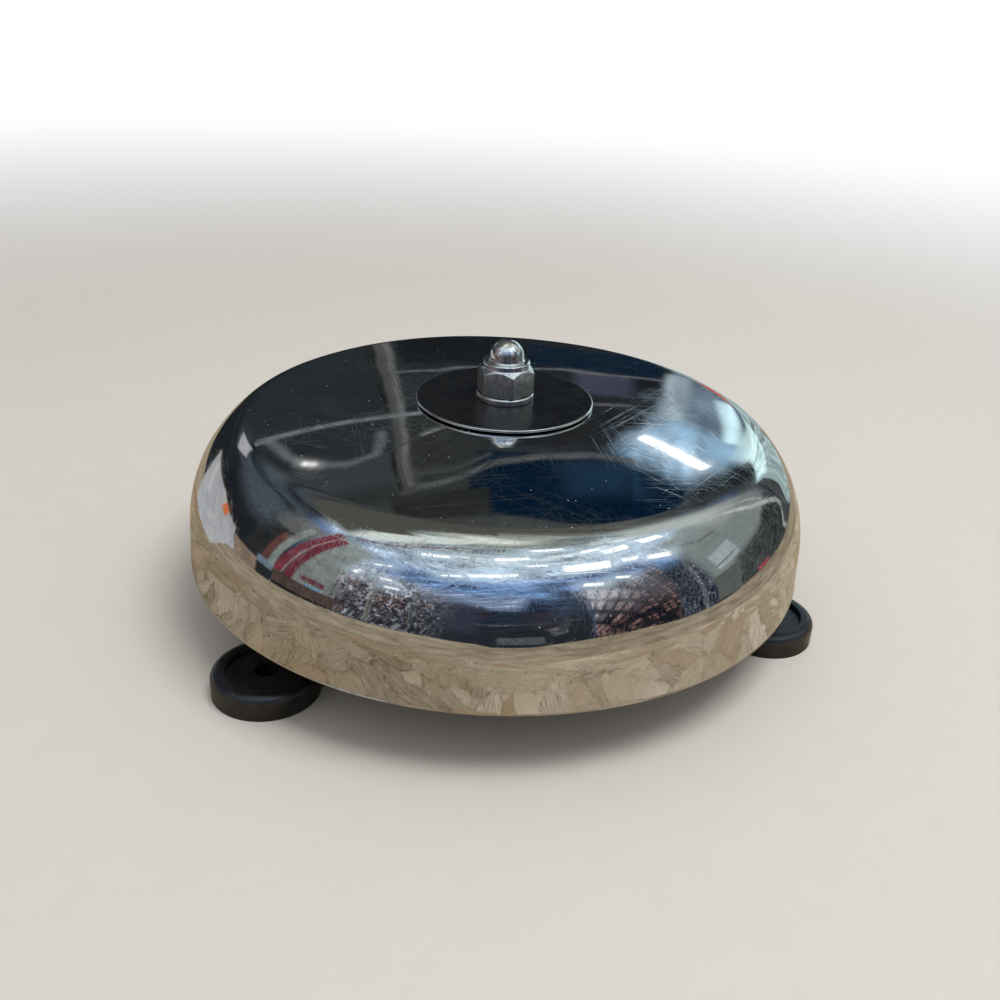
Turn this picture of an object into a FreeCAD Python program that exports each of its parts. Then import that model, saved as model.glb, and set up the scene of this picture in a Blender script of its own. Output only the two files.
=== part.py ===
import FreeCAD, Part

# Electric alarm bell: a polished gong over a sealed drum with a solenoid striker.
#
# All lengths are millimetres. The bell lies on its back: z = 0 is the mounting face, +Z points
# out of the crown, and the origin is where the gong bolt's axis meets the mounting face. The
# striker travels along +X and the cable enters from -Y.
#
# The sheet "Sizes" holds the driving dimensions and the sheet "Layout" the places worked out
# from them. Every sketch, feature and placement is bound to those cells by expressions.

import math
import os
import re

import Sketcher

SIZES = [
    # gong
    ("gong_radius", 80.0, "outer radius of the gong at its rim"),
    ("gong_wall", 2.0, "sheet thickness of the gong"),
    ("gong_skirt_height", 11.0, "height of the straight skirt above the rim"),
    ("gong_skirt_draft", 3.1, "inward lean of the skirt, degrees"),
    ("gong_shoulder_radius", 31.1, "outer radius of the shoulder's arc"),
    ("gong_shoulder_end", 49.8, "slope of the outward normal where the shoulder ends, degrees"),
    ("gong_edge_radius", 10.4, "outer radius of the arc between shoulder and crown"),
    ("gong_crown_radius", 500.0, "radius of the nearly flat crown"),
    ("gong_seat_radius", 9.0, "flat seat in the middle of the crown"),
    ("gong_hole_radius", 6.0, "hole in the crown for the rubber cushion's collar"),
    ("gong_lip_round", 0.6, "rounding of the rim's two edges"),
    # sealed drum, its three fixing pads and the lid
    ("housing_floor", 3.0, "thickness of the drum's floor"),
    ("housing_wall", 3.0, "thickness of the drum's side wall"),
    ("pad_radius", 12.6, "radius of a fixing pad"),
    ("pad_height", 6.2, "height of a fixing pad"),
    ("pad_round", 2.0, "rounding of a fixing pad's top edge"),
    ("pad_inset", 6.0, "distance of a pad's centre inside the gong's rim radius"),
    ("pad_lip", 3.6, "width of the raised lip round a pad's dish"),
    ("pad_dish", 1.0, "depth of a pad's dish"),
    ("dish_round", 0.5, "rounding of a dish's upper edge"),
    ("fixing_hole_radius", 2.75, "clearance hole for a 5 mm fixing screw"),
    ("arm_width", 16.0, "width of the arm that joins a pad to the drum"),
    ("arm_height", 4.0, "height of that arm"),
    ("back_recess_depth", 0.5, "depth of the relief in the mounting face"),
    ("back_rim_width", 7.0, "width of the flat ring round that relief"),
    ("pillar_radius", 8.0, "radius of the drum's central pillar"),
    ("pillar_foot_wall", 3.0, "wall round the bolt head's pocket"),
    ("pillar_foot_roof", 1.5, "material above the bolt head's pocket, outside the pillar"),
    ("ear_radius", 4.5, "radius of a lid screw's ear"),
    ("ear_offset", 2.0, "distance of an ear's centre outside the drum's radius"),
    ("ear_height", 13.0, "height of an ear on the drum's wall"),
    ("gasket_width", 1.4, "width of the lid's gasket"),
    ("gasket_depth", 1.2, "depth of the lid's gasket groove"),
    ("gasket_clearance", 0.05, "side clearance of the gasket in its groove"),
    ("lid_thickness", 2.5, "thickness of the lid"),
    ("lid_boss_radius", 13.0, "radius of the raised boss in the middle of the lid"),
    ("lid_boss_height", 1.5, "height of that boss above the lid"),
    ("lid_edge_round", 0.8, "rounding of the lid's top edge"),
    # screws with a cheese head: shank, head
    ("lid_screw_radius", 2.0, "radius of a lid screw, M4"),
    ("lid_screw_grip", 9.0, "length of a lid screw inside its ear"),
    ("board_screw_radius", 1.25, "radius of a circuit board screw, M2.5"),
    ("board_screw_grip", 3.5, "length of a board screw inside its stand-off"),
    ("yoke_screw_radius", 1.75, "radius of a yoke screw, M3.5"),
    ("yoke_screw_grip", 3.0, "length of a yoke screw inside its pedestal"),
    ("screw_head_ratio", 1.75, "radius of a screw's head over that of its shank"),
    ("screw_head_height_ratio", 1.2, "height of a screw's head over the shank's radius"),
    ("screw_slot_width", 0.8, "width of a screw head's slot"),
    ("thread_clearance", 0.05, "radial room between a thread and its hole"),
    ("screw_hole_clearance", 0.25, "radial room round a screw in a plain hole"),
    ("screw_end_room", 0.4, "room past the end of a screw"),
    # gong bolt and what it clamps
    ("bolt_radius", 4.0, "radius of the gong bolt, M8"),
    ("bolt_head_flats", 13.0, "width across flats of the bolt's head and of the cap nut"),
    ("bolt_head_height", 5.3, "height of the bolt's head"),
    ("bolt_head_recess", 1.2, "depth of the bolt's head below the mounting face"),
    ("bolt_clearance", 0.2, "radial room round the bolt and round its head"),
    ("seal_thickness", 1.0, "thickness of the seal under the bolt's head"),
    ("pillar_seal_width", 2.0, "width of the seal on top of the pillar"),
    ("pillar_seal_depth", 1.5, "depth of that seal's recess"),
    ("pillar_washer_thickness", 1.6, "thickness of the washer on the lid"),
    ("pillar_washer_radius", 10.0, "radius of that washer"),
    ("gong_pillar_flats", 14.0, "width across flats of the hexagonal pillar nut"),
    ("gong_washer_radius", 11.5, "radius of the washer that carries the gong"),
    ("gong_washer_thickness", 1.5, "thickness of that washer"),
    ("cushion_thickness", 3.0, "thickness of the cushion's flange"),
    ("cushion_clearance", 0.15, "room between the cushion's collar and the gong's hole"),
    ("disc_radius", 22.7, "radius of the flat disc on the crown"),
    ("disc_thickness", 0.6, "thickness of that disc"),
    ("nut_washer_radius", 7.4, "radius of the washer under the cap nut"),
    ("nut_washer_thickness", 1.6, "thickness of that washer"),
    ("nut_foot_chamfer", 0.4, "chamfer at the foot of the nut's hexagon"),
    ("nut_corner_height", 5.6, "height of the hexagon's corners"),
    ("nut_collar_radius", 6.1, "radius of the collar that holds the locking ring"),
    ("nut_collar_round", 0.6, "rounding of the collar's edge"),
    ("nut_collar_height", 8.4, "height of the collar's top"),
    ("nut_dome_radius", 4.45, "radius of the dome"),
    ("nut_dome_rise", 0.9, "height of the dome's straight part"),
    ("nut_thread_depth", 9.0, "depth of the nut's blind hole"),
    ("locking_ring_width", 1.2, "width of the nylon locking ring"),
    ("locking_ring_height", 1.8, "height of the nylon locking ring"),
    ("bolt_end_room", 1.4, "room between the bolt's end and the end of the nut's hole"),
    # solenoid
    ("pedestal_height", 2.5, "height of the pedestal under the yoke"),
    ("pedestal_width", 18.0, "width of that pedestal"),
    ("yoke_thickness", 2.5, "thickness of the yoke's steel strip"),
    ("yoke_width", 20.0, "width of the yoke's steel strip"),
    ("yoke_tab_length", 12.0, "length of a fixing tab along the yoke"),
    ("yoke_tab_reach", 17.5, "distance of a tab's end from the middle of the yoke"),
    ("yoke_tab_inset", 4.0, "distance of a tab's screw from the tab's end"),
    ("yoke_tenon_width", 8.0, "width of the tenon that locks a leg into the strap"),
    ("tenon_clearance", 0.05, "room round a tenon in the strap"),
    ("coil_radius", 11.0, "radius of the bobbin's flanges"),
    ("coil_clearance", 0.5, "room between the flanges and the yoke, base and strap"),
    ("bobbin_flange", 1.2, "thickness of a bobbin's flange"),
    ("bobbin_wall", 0.9, "thickness of the bobbin's tube"),
    ("bobbin_slack", 0.1, "room at each end of the bobbin and of the winding"),
    ("winding_margin", 1.1, "distance of the winding's outside below the flanges' edge"),
    ("tape_thickness", 0.3, "thickness of the tape round the winding"),
    ("guide_tube_bore", 5.0, "inner radius of the brass guide tube"),
    ("guide_tube_wall", 0.5, "wall of the guide tube"),
    ("sleeve_clearance", 0.05, "radial room between nested sleeves that don't move"),
    ("pole_share", 0.24, "share of the coil's length that the pole piece takes"),
    ("pole_spigot_radius", 3.6, "radius of the pole piece's spigot in the yoke's front leg"),
    ("pole_bore_clearance", 0.3, "radial room round the push rod in the pole piece"),
    ("post_depth", 0.5, "distance of the buffer post's face outside the pillar's radius"),
    ("post_width", 12.0, "width of the buffer post"),
    ("buffer_radius", 4.4, "radius of the rubber stop buffer"),
    ("buffer_thickness", 2.2, "thickness of the stop buffer"),
    ("buffer_stem_radius", 1.8, "radius of the stop buffer's stem"),
    ("buffer_stem_length", 2.0, "length of the stop buffer's stem"),
    ("lid_clearance", 0.5, "room between the yoke's strap and the lid"),
    # striker
    ("strike_height", 3.8, "height of the striker's line above the gong's rim"),
    ("stroke", 4.0, "travel of the striker"),
    ("strike_clearance", 0.3, "distance of the head from the gong at full stroke"),
    ("plunger_clearance", 0.08, "radial running clearance of the plunger"),
    ("plunger_gap", 0.8, "gap between plunger and pole piece at full stroke"),
    ("plunger_overhang", 2.0, "length of the plunger behind the yoke at rest"),
    ("buffer_gap", 0.3, "gap between plunger and stop buffer at rest"),
    ("rod_radius", 2.0, "radius of the push rod"),
    ("rod_grip_share", 0.38, "share of the plunger's length that grips the push rod"),
    ("rod_clearance", 0.06, "radial running clearance of the rod in its bush"),
    ("fixed_fit_clearance", 0.02, "radial room of a pin or rod in its seat"),
    ("pin_radius", 0.75, "radius of the pin through plunger and rod"),
    ("spring_recess_share", 0.38, "share of the plunger's length that the spring's recess takes"),
    ("spring_recess_radius", 3.7, "radius of the spring's recess"),
    ("spring_mean_radius", 3.0, "mean radius of the return spring"),
    ("spring_wire_radius", 0.25, "radius of the spring's wire"),
    ("spring_turns", 7.0, "turns of the return spring"),
    ("head_radius", 4.5, "radius of the striker's head"),
    ("head_length", 7.5, "length of the striker's head"),
    ("head_crown", 1.6, "height of the rounded end of the striker's head"),
    ("neck_radius", 3.0, "radius of the head's neck"),
    ("neck_length", 1.5, "length of the head's neck"),
    ("head_socket_depth", 4.0, "depth of the rod's socket in head and neck together"),
    ("bush_radius", 4.5, "radius of the nylon guide bush"),
    ("bush_flange_radius", 6.5, "radius of the bush's flange"),
    ("bush_flange", 1.5, "thickness of the bush's flange"),
    ("bush_to_yoke", 1.0, "gap between the bush and the yoke"),
    ("striker_boss_radius", 9.0, "radius of the boss round the guide bush"),
    ("striker_boss_inward", 3.5, "reach of that boss inside the drum's wall"),
    ("striker_boss_outward", 2.0, "reach of that boss outside the drum's wall"),
    ("spigot_radius", 6.5, "radius of the spigot that holds the bellows"),
    ("spigot_length", 2.6, "length of that spigot"),
    ("bellows_wall", 0.9, "wall of the bellows, measured across its axis"),
    ("bellows_clearance", 0.1, "radial room of the bellows' collars on their seats"),
    ("bellows_crest", 8.2, "radius of the bellows' crest"),
    ("bellows_valley", 5.4, "radius of the bellows' valleys"),
    ("bellows_seat_gap", 0.3, "gap between the bellows and the faces beside it"),
    ("clamp_wire_radius", 0.5, "radius of the wire ring round the bellows"),
    # cable gland
    ("gland_height", 9.0, "height of the gland's axis above the mounting face"),
    ("gland_thread_radius", 6.0, "radius of the gland's thread, M12"),
    ("gland_flats", 14.0, "width across flats of the gland's body and cap"),
    ("gland_flange", 4.0, "thickness of the gland body's hexagon"),
    ("gland_cap_length", 13.0, "length of the gland outside that hexagon"),
    ("gland_cap_gap", 0.6, "gap between the body's hexagon and the cap"),
    ("gland_cap_hexagon", 7.0, "length of the cap's hexagon"),
    ("gland_cap_wall", 2.2, "thickness of the cap's end"),
    ("gland_mouth_radius", 3.7, "radius of the hole in the cap's end"),
    ("gland_bore_radius", 4.0, "radius of the hole through the gland's body"),
    ("gland_gong_gap", 5.0, "gap between the gland's end and the gong"),
    ("gland_boss_radius", 8.5, "radius of the boss round the gland"),
    ("gland_boss_inward", 3.0, "reach of that boss inside the drum's wall"),
    ("gland_boss_outward", 1.0, "reach of that boss outside the drum's wall"),
    ("gland_ring_width", 1.4, "width of the gland's sealing ring"),
    ("gland_ring_depth", 1.0, "depth of the sealing ring's recess"),
    ("gland_seal_bore", 3.3, "radius of the cable's hole through the gland's rubber seal"),
    ("gland_seal_radius", 5.0, "radius of the gland's rubber seal"),
    ("gland_seal_length", 6.0, "length of the gland's rubber seal"),
    # circuit board
    ("board_length", 26.0, "size of the circuit board along the striker's line"),
    ("board_width", 30.0, "size of the circuit board across it"),
    ("board_thickness", 1.6, "thickness of the circuit board"),
    ("board_gap", 1.5, "gap between the board's edge and the pillar's foot"),
    ("board_corner", 2.5, "distance of a board screw from the board's edges"),
    ("standoff_height", 5.0, "height of the board's stand-offs"),
    ("standoff_radius", 2.5, "radius of the board's stand-offs"),
    ("terminal_length", 16.0, "length of the two-pole terminal block"),
    ("terminal_depth", 10.0, "depth of the terminal block"),
    ("terminal_height", 11.0, "height of the terminal block"),
    ("terminal_inset", 0.5, "distance of the terminal block from the board's edge"),
    ("terminal_pitch", 8.0, "distance between the two poles"),
    ("terminal_hole_radius", 1.7, "radius of a wire's hole"),
    ("terminal_hole_depth", 6.0, "depth of a wire's hole"),
    ("terminal_screw_radius", 1.8, "radius of a clamping screw"),
    ("terminal_screw_depth", 4.0, "depth of a clamping screw's hole"),
    ("terminal_screw_sink", 0.5, "distance of a clamping screw below the block's top"),
    ("diode_radius", 2.6, "radius of the rectifier diode"),
    ("diode_length", 9.0, "length of the rectifier diode"),
    ("diode_stand", 3.2, "height of the diode's axis above the board"),
    ("diode_offset", 2.0, "place of the diode across the board"),
    ("diode_lead_radius", 0.6, "radius of the diode's leads"),
    ("diode_leg_radius", 0.8, "radius of the spacers on the leads' legs"),
    ("diode_lead_reach", 2.0, "length of the diode's leads beyond its ends"),
    ("varistor_radius", 5.5, "radius of the varistor's disc"),
    ("varistor_thickness", 4.0, "thickness of the varistor's disc"),
    ("varistor_stand", 1.5, "gap between the varistor's disc and the board"),
    ("varistor_offset", 9.5, "place of the varistor across the board"),
    ("varistor_lead_radius", 0.4, "radius of the varistor's leads"),
    ("varistor_lead_pitch", 5.0, "distance between the varistor's leads"),
    ("lead_radius", 0.8, "radius of a coil lead with its sleeve"),
    ("lead_spacing", 2.2, "height between the two coil leads"),
    ("lead_rise", 4.0, "height of the lower coil lead above the board"),
    ("lead_edge", 1.8, "distance of the leads' start from the board's edge"),
    ("lead_start", 8.5, "place of the first lead's start across the board"),
    ("lead_start_pitch", 3.0, "distance between the leads' starts"),
    ("lead_swing", 13.0, "distance of the leads from the striker's line beside the yoke"),
    ("lead_pass", 12.4, "distance of the leads from the striker's line beside the pillar"),
]

LAYOUT = [
    # gong outline, heights above the rim: centres and ends of its arcs
    ("shoulder_r", "gong_radius - gong_skirt_height * tan(gong_skirt_draft)"),
    ("shoulder_centre_r", "shoulder_r - gong_shoulder_radius * cos(gong_skirt_draft)"),
    ("shoulder_centre_h", "gong_skirt_height - gong_shoulder_radius * sin(gong_skirt_draft)"),
    ("edge_centre_r", "shoulder_centre_r + (gong_shoulder_radius - gong_edge_radius) * cos(gong_shoulder_end)"),
    ("edge_centre_h", "shoulder_centre_h + (gong_shoulder_radius - gong_edge_radius) * sin(gong_shoulder_end)"),
    ("crown_reach", "gong_crown_radius - gong_edge_radius"),
    ("crown_centre_h", "edge_centre_h - sqrt(crown_reach * crown_reach - edge_centre_r * edge_centre_r)"),
    ("crown_slope_r", "edge_centre_r / crown_reach"),
    ("crown_slope_h", "(edge_centre_h - crown_centre_h) / crown_reach"),
    ("gong_height", "crown_centre_h + sqrt(gong_crown_radius * gong_crown_radius - gong_seat_radius * gong_seat_radius)"),
    ("crown_inner_radius", "gong_crown_radius - gong_wall"),
    ("gong_inner_height", "crown_centre_h + sqrt(crown_inner_radius * crown_inner_radius - gong_seat_radius * gong_seat_radius)"),
    # heights above the mounting face
    ("yoke_z", "housing_floor + pedestal_height"),
    ("yoke_top_z", "yoke_z + yoke_thickness"),
    ("axis_z", "yoke_top_z + coil_clearance + coil_radius"),
    ("strap_z", "axis_z + coil_radius + coil_clearance"),
    ("wall_top_z", "strap_z + yoke_thickness + lid_clearance"),
    ("lid_top_z", "wall_top_z + lid_thickness"),
    ("lid_boss_z", "lid_top_z + lid_boss_height"),
    ("gong_pillar_z", "lid_boss_z + pillar_washer_thickness"),
    ("rim_z", "axis_z - strike_height"),
    ("seat_under_z", "rim_z + gong_inner_height"),
    ("seat_z", "rim_z + gong_height"),
    ("cushion_z", "seat_under_z - cushion_thickness"),
    ("cushion_radius", "gong_seat_radius - cushion_clearance"),
    ("gong_washer_z", "cushion_z - gong_washer_thickness"),
    ("disc_top_z", "seat_z + disc_thickness"),
    ("nut_z", "disc_top_z + nut_washer_thickness"),
    ("bolt_end_z", "nut_z + nut_thread_depth - bolt_end_room"),
    ("bolt_head_top_z", "bolt_head_recess + bolt_head_height"),
    ("bolt_pocket_z", "bolt_head_top_z + seal_thickness"),
    ("pillar_foot_z", "bolt_pocket_z + pillar_foot_roof"),
    ("ear_z", "wall_top_z - ear_height"),
    # radii
    ("housing_radius", "gong_radius - gong_wall - gland_gong_gap - gland_cap_length - gland_flange - gland_boss_outward"),
    ("housing_inner", "housing_radius - housing_wall"),
    ("pad_circle", "gong_radius - pad_inset"),
    ("ear_circle", "housing_radius + ear_offset"),
    ("gasket_middle", "(housing_radius + housing_inner) / 2"),
    ("gasket_inner", "gasket_middle - gasket_width / 2"),
    ("gasket_outer", "gasket_middle + gasket_width / 2"),
    ("back_recess_outer", "housing_radius - back_rim_width"),
    ("bolt_head_corner", "bolt_head_flats / (2 * cos(30))"),
    ("pillar_foot_radius", "bolt_head_corner + pillar_foot_wall"),
    ("nut_across", "bolt_head_flats / 2"),
    # places along the striker's line, from the bolt's axis outwards
    ("post_x", "pillar_radius + post_depth"),
    ("buffer_x", "post_x + buffer_thickness"),
    ("plunger_x", "buffer_x + buffer_gap"),
    ("yoke_rear_x", "plunger_x + plunger_overhang"),
    ("boss_inner_x", "housing_inner - striker_boss_inward"),
    ("boss_outer_x", "housing_radius + striker_boss_outward"),
    ("spigot_x", "boss_outer_x + spigot_length"),
    ("bush_x", "boss_inner_x - bush_flange"),
    ("yoke_front_x", "bush_x - bush_to_yoke"),
    ("coil_rear_x", "yoke_rear_x + yoke_thickness"),
    ("coil_front_x", "yoke_front_x - yoke_thickness"),
    ("yoke_middle_x", "(yoke_rear_x + yoke_front_x) / 2"),
    ("pole_x", "coil_front_x - (coil_front_x - coil_rear_x) * pole_share"),
    ("plunger_front_x", "pole_x - stroke - plunger_gap"),
    ("plunger_length", "plunger_front_x - plunger_x"),
    ("recess_x", "plunger_front_x - plunger_length * spring_recess_share"),
    ("rod_grip", "plunger_length * rod_grip_share"),
    ("rod_x", "recess_x - rod_grip"),
    ("pin_x", "recess_x - rod_grip / 2"),
    ("gong_inner_x", "gong_radius - strike_height * tan(gong_skirt_draft) - gong_wall / cos(gong_skirt_draft)"),
    ("head_tip_x", "gong_inner_x - strike_clearance - stroke"),
    ("head_x", "head_tip_x - head_length"),
    ("neck_x", "head_x - neck_length"),
    ("rod_end_x", "neck_x + head_socket_depth"),
    ("bellows_span", "neck_x - spigot_x"),
    # solenoid radii
    ("plunger_radius", "guide_tube_bore - plunger_clearance"),
    ("tube_radius", "guide_tube_bore + guide_tube_wall"),
    ("tube_seat", "tube_radius + sleeve_clearance"),
    ("bobbin_radius", "tube_seat + bobbin_wall"),
    ("winding_inner", "bobbin_radius + sleeve_clearance"),
    ("winding_outer", "coil_radius - winding_margin"),
    ("tape_inner", "winding_outer + sleeve_clearance"),
    ("bobbin_rear_x", "coil_rear_x + bobbin_slack"),
    ("bobbin_front_x", "coil_front_x - bobbin_slack"),
    ("winding_rear_x", "bobbin_rear_x + bobbin_flange + bobbin_slack"),
    ("winding_front_x", "bobbin_front_x - bobbin_flange - bobbin_slack"),
    # cable gland, places outwards from the bolt's axis
    ("gland_inner_y", "housing_inner - gland_boss_inward"),
    ("gland_face_y", "housing_radius + gland_boss_outward"),
    ("gland_cap_y", "gland_face_y + gland_flange + gland_cap_gap"),
    ("gland_end_y", "gland_face_y + gland_flange + gland_cap_length"),
    ("gland_seal_end_y", "gland_end_y - gland_cap_wall - sleeve_clearance"),
    ("gland_seal_y", "gland_seal_end_y - gland_seal_length"),
    ("gland_body_end_y", "gland_seal_end_y - sleeve_clearance"),
    ("gland_cap_bore", "gland_thread_radius + thread_clearance"),
    # circuit board
    ("board_near_x", "0 - pillar_foot_radius - board_gap"),
    ("board_far_x", "board_near_x - board_length"),
    ("board_middle_x", "(board_near_x + board_far_x) / 2"),
    ("board_edge_y", "board_width / 2"),
    ("board_z", "housing_floor + standoff_height"),
    ("board_top_z", "board_z + board_thickness"),
    ("terminal_front_y", "terminal_inset - board_edge_y"),
    ("terminal_top_z", "board_top_z + terminal_height"),
    ("tab_screw_y", "yoke_tab_reach - yoke_tab_inset"),
]

# pieces whose number is fixed by what they are
PADS = 3
LID_SCREWS = 4

doc = FreeCAD.newDocument("ElectricBell")
sizes = doc.addObject("Spreadsheet::Sheet", "Sizes")
layout = doc.addObject("Spreadsheet::Sheet", "Layout")
size_names = {name for name, value, meaning in SIZES}
layout_names = {name for name, formula in LAYOUT}


def cells(text, own=()):
    """The expression with each size's name led by its sheet's, apart from the names in own."""

    def full_name(word):
        name = word.group()
        if name in own:
            return name
        if name in size_names:
            return "Sizes." + name
        return "Layout." + name if name in layout_names else name

    return re.sub(r"[A-Za-z_][A-Za-z_0-9]*", full_name, text)


for row, (name, value, meaning) in enumerate(SIZES, start=1):
    sizes.set(f"A{row}", meaning)
    sizes.set(f"B{row}", str(value))
    sizes.setAlias(f"B{row}", name)
for row, (name, formula) in enumerate(LAYOUT, start=1):
    layout.set(f"A{row}", name)
    layout.set(f"B{row}", "=" + cells(formula, own=layout_names))
    layout.setAlias(f"B{row}", name)
doc.recompute()


def number(text):
    """The present value of an expression on the sheets' names."""
    return float(layout.evalExpression(cells(text, own=layout_names)))


# ---------------------------------------------------------------- sketches and features

made = []


def bind(thing, path, text):
    """Ties one property of a document object to an expression."""
    thing.setExpression(path, cells(text))


def new_body(label, lift="0"):
    """An empty PartDesign body, raised by the height lift."""
    body = doc.addObject("PartDesign::Body", label)
    body.Label = label
    bind(body, ".Placement.Base.z", lift)
    made.append(body)
    return body


def new_sketch(body, name, plane="XY", offset="0"):
    """A sketch on one of the body's own planes, moved along that plane's normal."""
    sketch = body.newObject("Sketcher::SketchObject", f"{body.Name}_{name}")
    role = f"{plane}_Plane"
    support = [o for o in body.Origin.OriginFeatures if o.Role == role][0]
    sketch.AttachmentSupport = (support, [""])
    sketch.MapMode = "FlatFace"
    bind(sketch, ".AttachmentOffset.Base.z", offset)
    return sketch


def pin_down(sketch, geometry, point, x, y):
    """Fixes a point of a sketch's geometry at the expressions x and y."""
    for kind, axis, text in (("DistanceX", -2, x), ("DistanceY", -1, y)):
        if text == "0":
            sketch.addConstraint(Sketcher.Constraint("PointOnObject", geometry, point, axis))
            continue
        value = number(text)
        index = sketch.addConstraint(Sketcher.Constraint(kind, -1, 1, geometry, point, value))
        constraint = f"{kind}_{geometry}_{point}"
        sketch.renameConstraint(index, constraint)
        bind(sketch, f"Constraints.{constraint}", text)


def set_radius(sketch, geometry, text):
    """Sets the radius of a circle or arc to an expression."""
    index = sketch.addConstraint(Sketcher.Constraint("Radius", geometry, number(text)))
    sketch.renameConstraint(index, f"Radius_{geometry}")
    bind(sketch, f"Constraints.Radius_{geometry}", text)


def arc_between(start, end, radius, centre_side):
    """The arc from start to end whose centre lies on the left (1) or right (-1) of the chord.

    Returns the sketch's arc, which always runs anticlockwise, and whether it starts at start.
    """
    chord = end - start
    across = FreeCAD.Vector(-chord.y, chord.x, 0).normalize()
    height = math.sqrt(max(radius**2 - (chord.Length / 2) ** 2, 0))
    centre = (start + end) / 2 + across * height * centre_side
    first, last = (start, end) if centre_side > 0 else (end, start)
    circle = Part.Circle(centre, FreeCAD.Vector(0, 0, 1), radius)
    angles = [math.atan2(p.y - centre.y, p.x - centre.x) for p in (first, last)]
    return Part.ArcOfCircle(circle, *angles), centre_side > 0


def outline(sketch, corners):
    """A closed outline through corners (x, y), or (x, y, radius, side) where an arc leaves it."""
    first = sketch.GeometryCount
    places = [FreeCAD.Vector(number(c[0]), number(c[1]), 0) for c in corners]
    ends = []
    for i, corner in enumerate(corners):
        start, end = places[i], places[(i + 1) % len(corners)]
        if len(corner) == 2:
            sketch.addGeometry(Part.LineSegment(start, end))
            ends.append((1, 2))
        else:
            arc, forward = arc_between(start, end, number(corner[2]), corner[3])
            sketch.addGeometry(arc)
            ends.append((1, 2) if forward else (2, 1))
    for i in range(len(corners)):
        here, ahead = first + i, first + (i + 1) % len(corners)
        start_of_next = ends[(i + 1) % len(corners)][0]
        sketch.addConstraint(
            Sketcher.Constraint("Coincident", here, ends[i][1], ahead, start_of_next)
        )
    for i, corner in enumerate(corners):
        pin_down(sketch, first + i, ends[i][0], corner[0], corner[1])
        if len(corner) > 2:
            set_radius(sketch, first + i, corner[2])


def circles(sketch, *rounds):
    """Circles, each given as (x, y, radius)."""
    for x, y, radius in rounds:
        index = sketch.GeometryCount
        centre = FreeCAD.Vector(number(x), number(y), 0)
        sketch.addGeometry(Part.Circle(centre, FreeCAD.Vector(0, 0, 1), number(radius)))
        pin_down(sketch, index, 3, x, y)
        set_radius(sketch, index, radius)


def rectangle(sketch, x0, y0, x1, y1):
    """A rectangle between two opposite corners."""
    outline(sketch, [(x0, y0), (x1, y0), (x1, y1), (x0, y1)])


def hexagon(sketch, flats):
    """A regular hexagon round the sketch's origin, with two sides along y."""
    corner = f"({flats}) / (2 * cos(30))"
    outline(sketch, [(f"{corner} * cos({30 + 60 * k})", f"{corner} * sin({30 + 60 * k})") for k in range(6)])


def finish_feature(body, feature, adds):
    """Recomputes a feature and makes sure that it changed the body's volume as it should."""
    tip = body.Tip if body.Tip is not feature else feature.BaseFeature
    before = tip.Shape.Volume if tip and not tip.Shape.isNull() else 0.0
    body.Tip = feature
    doc.recompute()
    change = feature.Shape.Volume - before
    if not (change > 0 if adds else change < 0):
        raise ValueError(f"{feature.Name} changed the volume by {change:.3f}")
    return feature


def pad(body, sketch, length, reverse=False):
    """Material from the sketch's outline over length, along the plane's normal."""
    feature = body.newObject("PartDesign::Pad", sketch.Name + "_pad")
    feature.Profile = (sketch, [""])
    feature.Reversed = reverse
    bind(feature, "Length", length)
    return finish_feature(body, feature, adds=True)


def pocket(body, sketch, length, up=False):
    """A cut of the sketch's outline over length: against the plane's normal, or along it."""
    feature = body.newObject("PartDesign::Pocket", sketch.Name + "_pocket")
    feature.Profile = (sketch, [""])
    feature.Reversed = up
    bind(feature, "Length", length)
    return finish_feature(body, feature, adds=False)


def revolve(body, sketch, axis, cut=False):
    """A full turn of the sketch's outline round its own H_Axis or V_Axis."""
    kind = "Groove" if cut else "Revolution"
    feature = body.newObject(f"PartDesign::{kind}", f"{sketch.Name}_{kind.lower()}")
    feature.Profile = (sketch, [""])
    feature.ReferenceAxis = (sketch, [axis])
    feature.Angle = 360
    return finish_feature(body, feature, adds=not cut)


def polar(body, sketch, features, count, adds):
    """Copies of features, evenly round the origin's Z axis."""
    feature = body.newObject("PartDesign::PolarPattern", f"{features[0].Name}_pattern")
    feature.Originals = features
    feature.Axis = (sketch, ["N_Axis"])
    feature.Angle = 360
    feature.Occurrences = count
    return finish_feature(body, feature, adds)


def round_edges(body, name, radius, chosen, kind="Fillet"):
    """Rounds or chamfers the edges of the body for which chosen(edge) is true."""
    tip = body.Tip
    names = [f"Edge{i}" for i, edge in enumerate(tip.Shape.Edges, start=1) if chosen(edge)]
    if not names:
        raise ValueError(f"{body.Label} has no edge for {name}")
    feature = body.newObject(f"PartDesign::{kind}", f"{body.Name}_{name}")
    feature.Base = (tip, names)
    bind(feature, "Radius" if kind == "Fillet" else "Size", radius)
    body.Tip = feature
    doc.recompute()
    return feature


def is_circle(edge, radius, height=None, near=1e-4):
    """Whether an edge lies on a circle of that radius, at that height if one is given."""
    if not isinstance(edge.Curve, Part.Circle) or abs(edge.Curve.Radius - radius) > near:
        return False
    return height is None or abs(edge.Curve.Center.z - height) < near


AXIS_PLANES = {"Z": ("XZ", "V_Axis"), "X": ("XZ", "H_Axis"), "Y": ("YZ", "H_Axis")}


def turned(label, corners, along="Z", lift="0"):
    """A turned piece: its half outline revolved round the Z, X or Y line at height lift.

    Along Z a corner is (radius, height); along X or Y it is (place on the line, radius).
    """
    plane, axis = AXIS_PLANES[along]
    body = new_body(label, lift)
    sketch = new_sketch(body, "profile", plane)
    outline(sketch, corners)
    revolve(body, sketch, axis)
    return body


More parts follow.
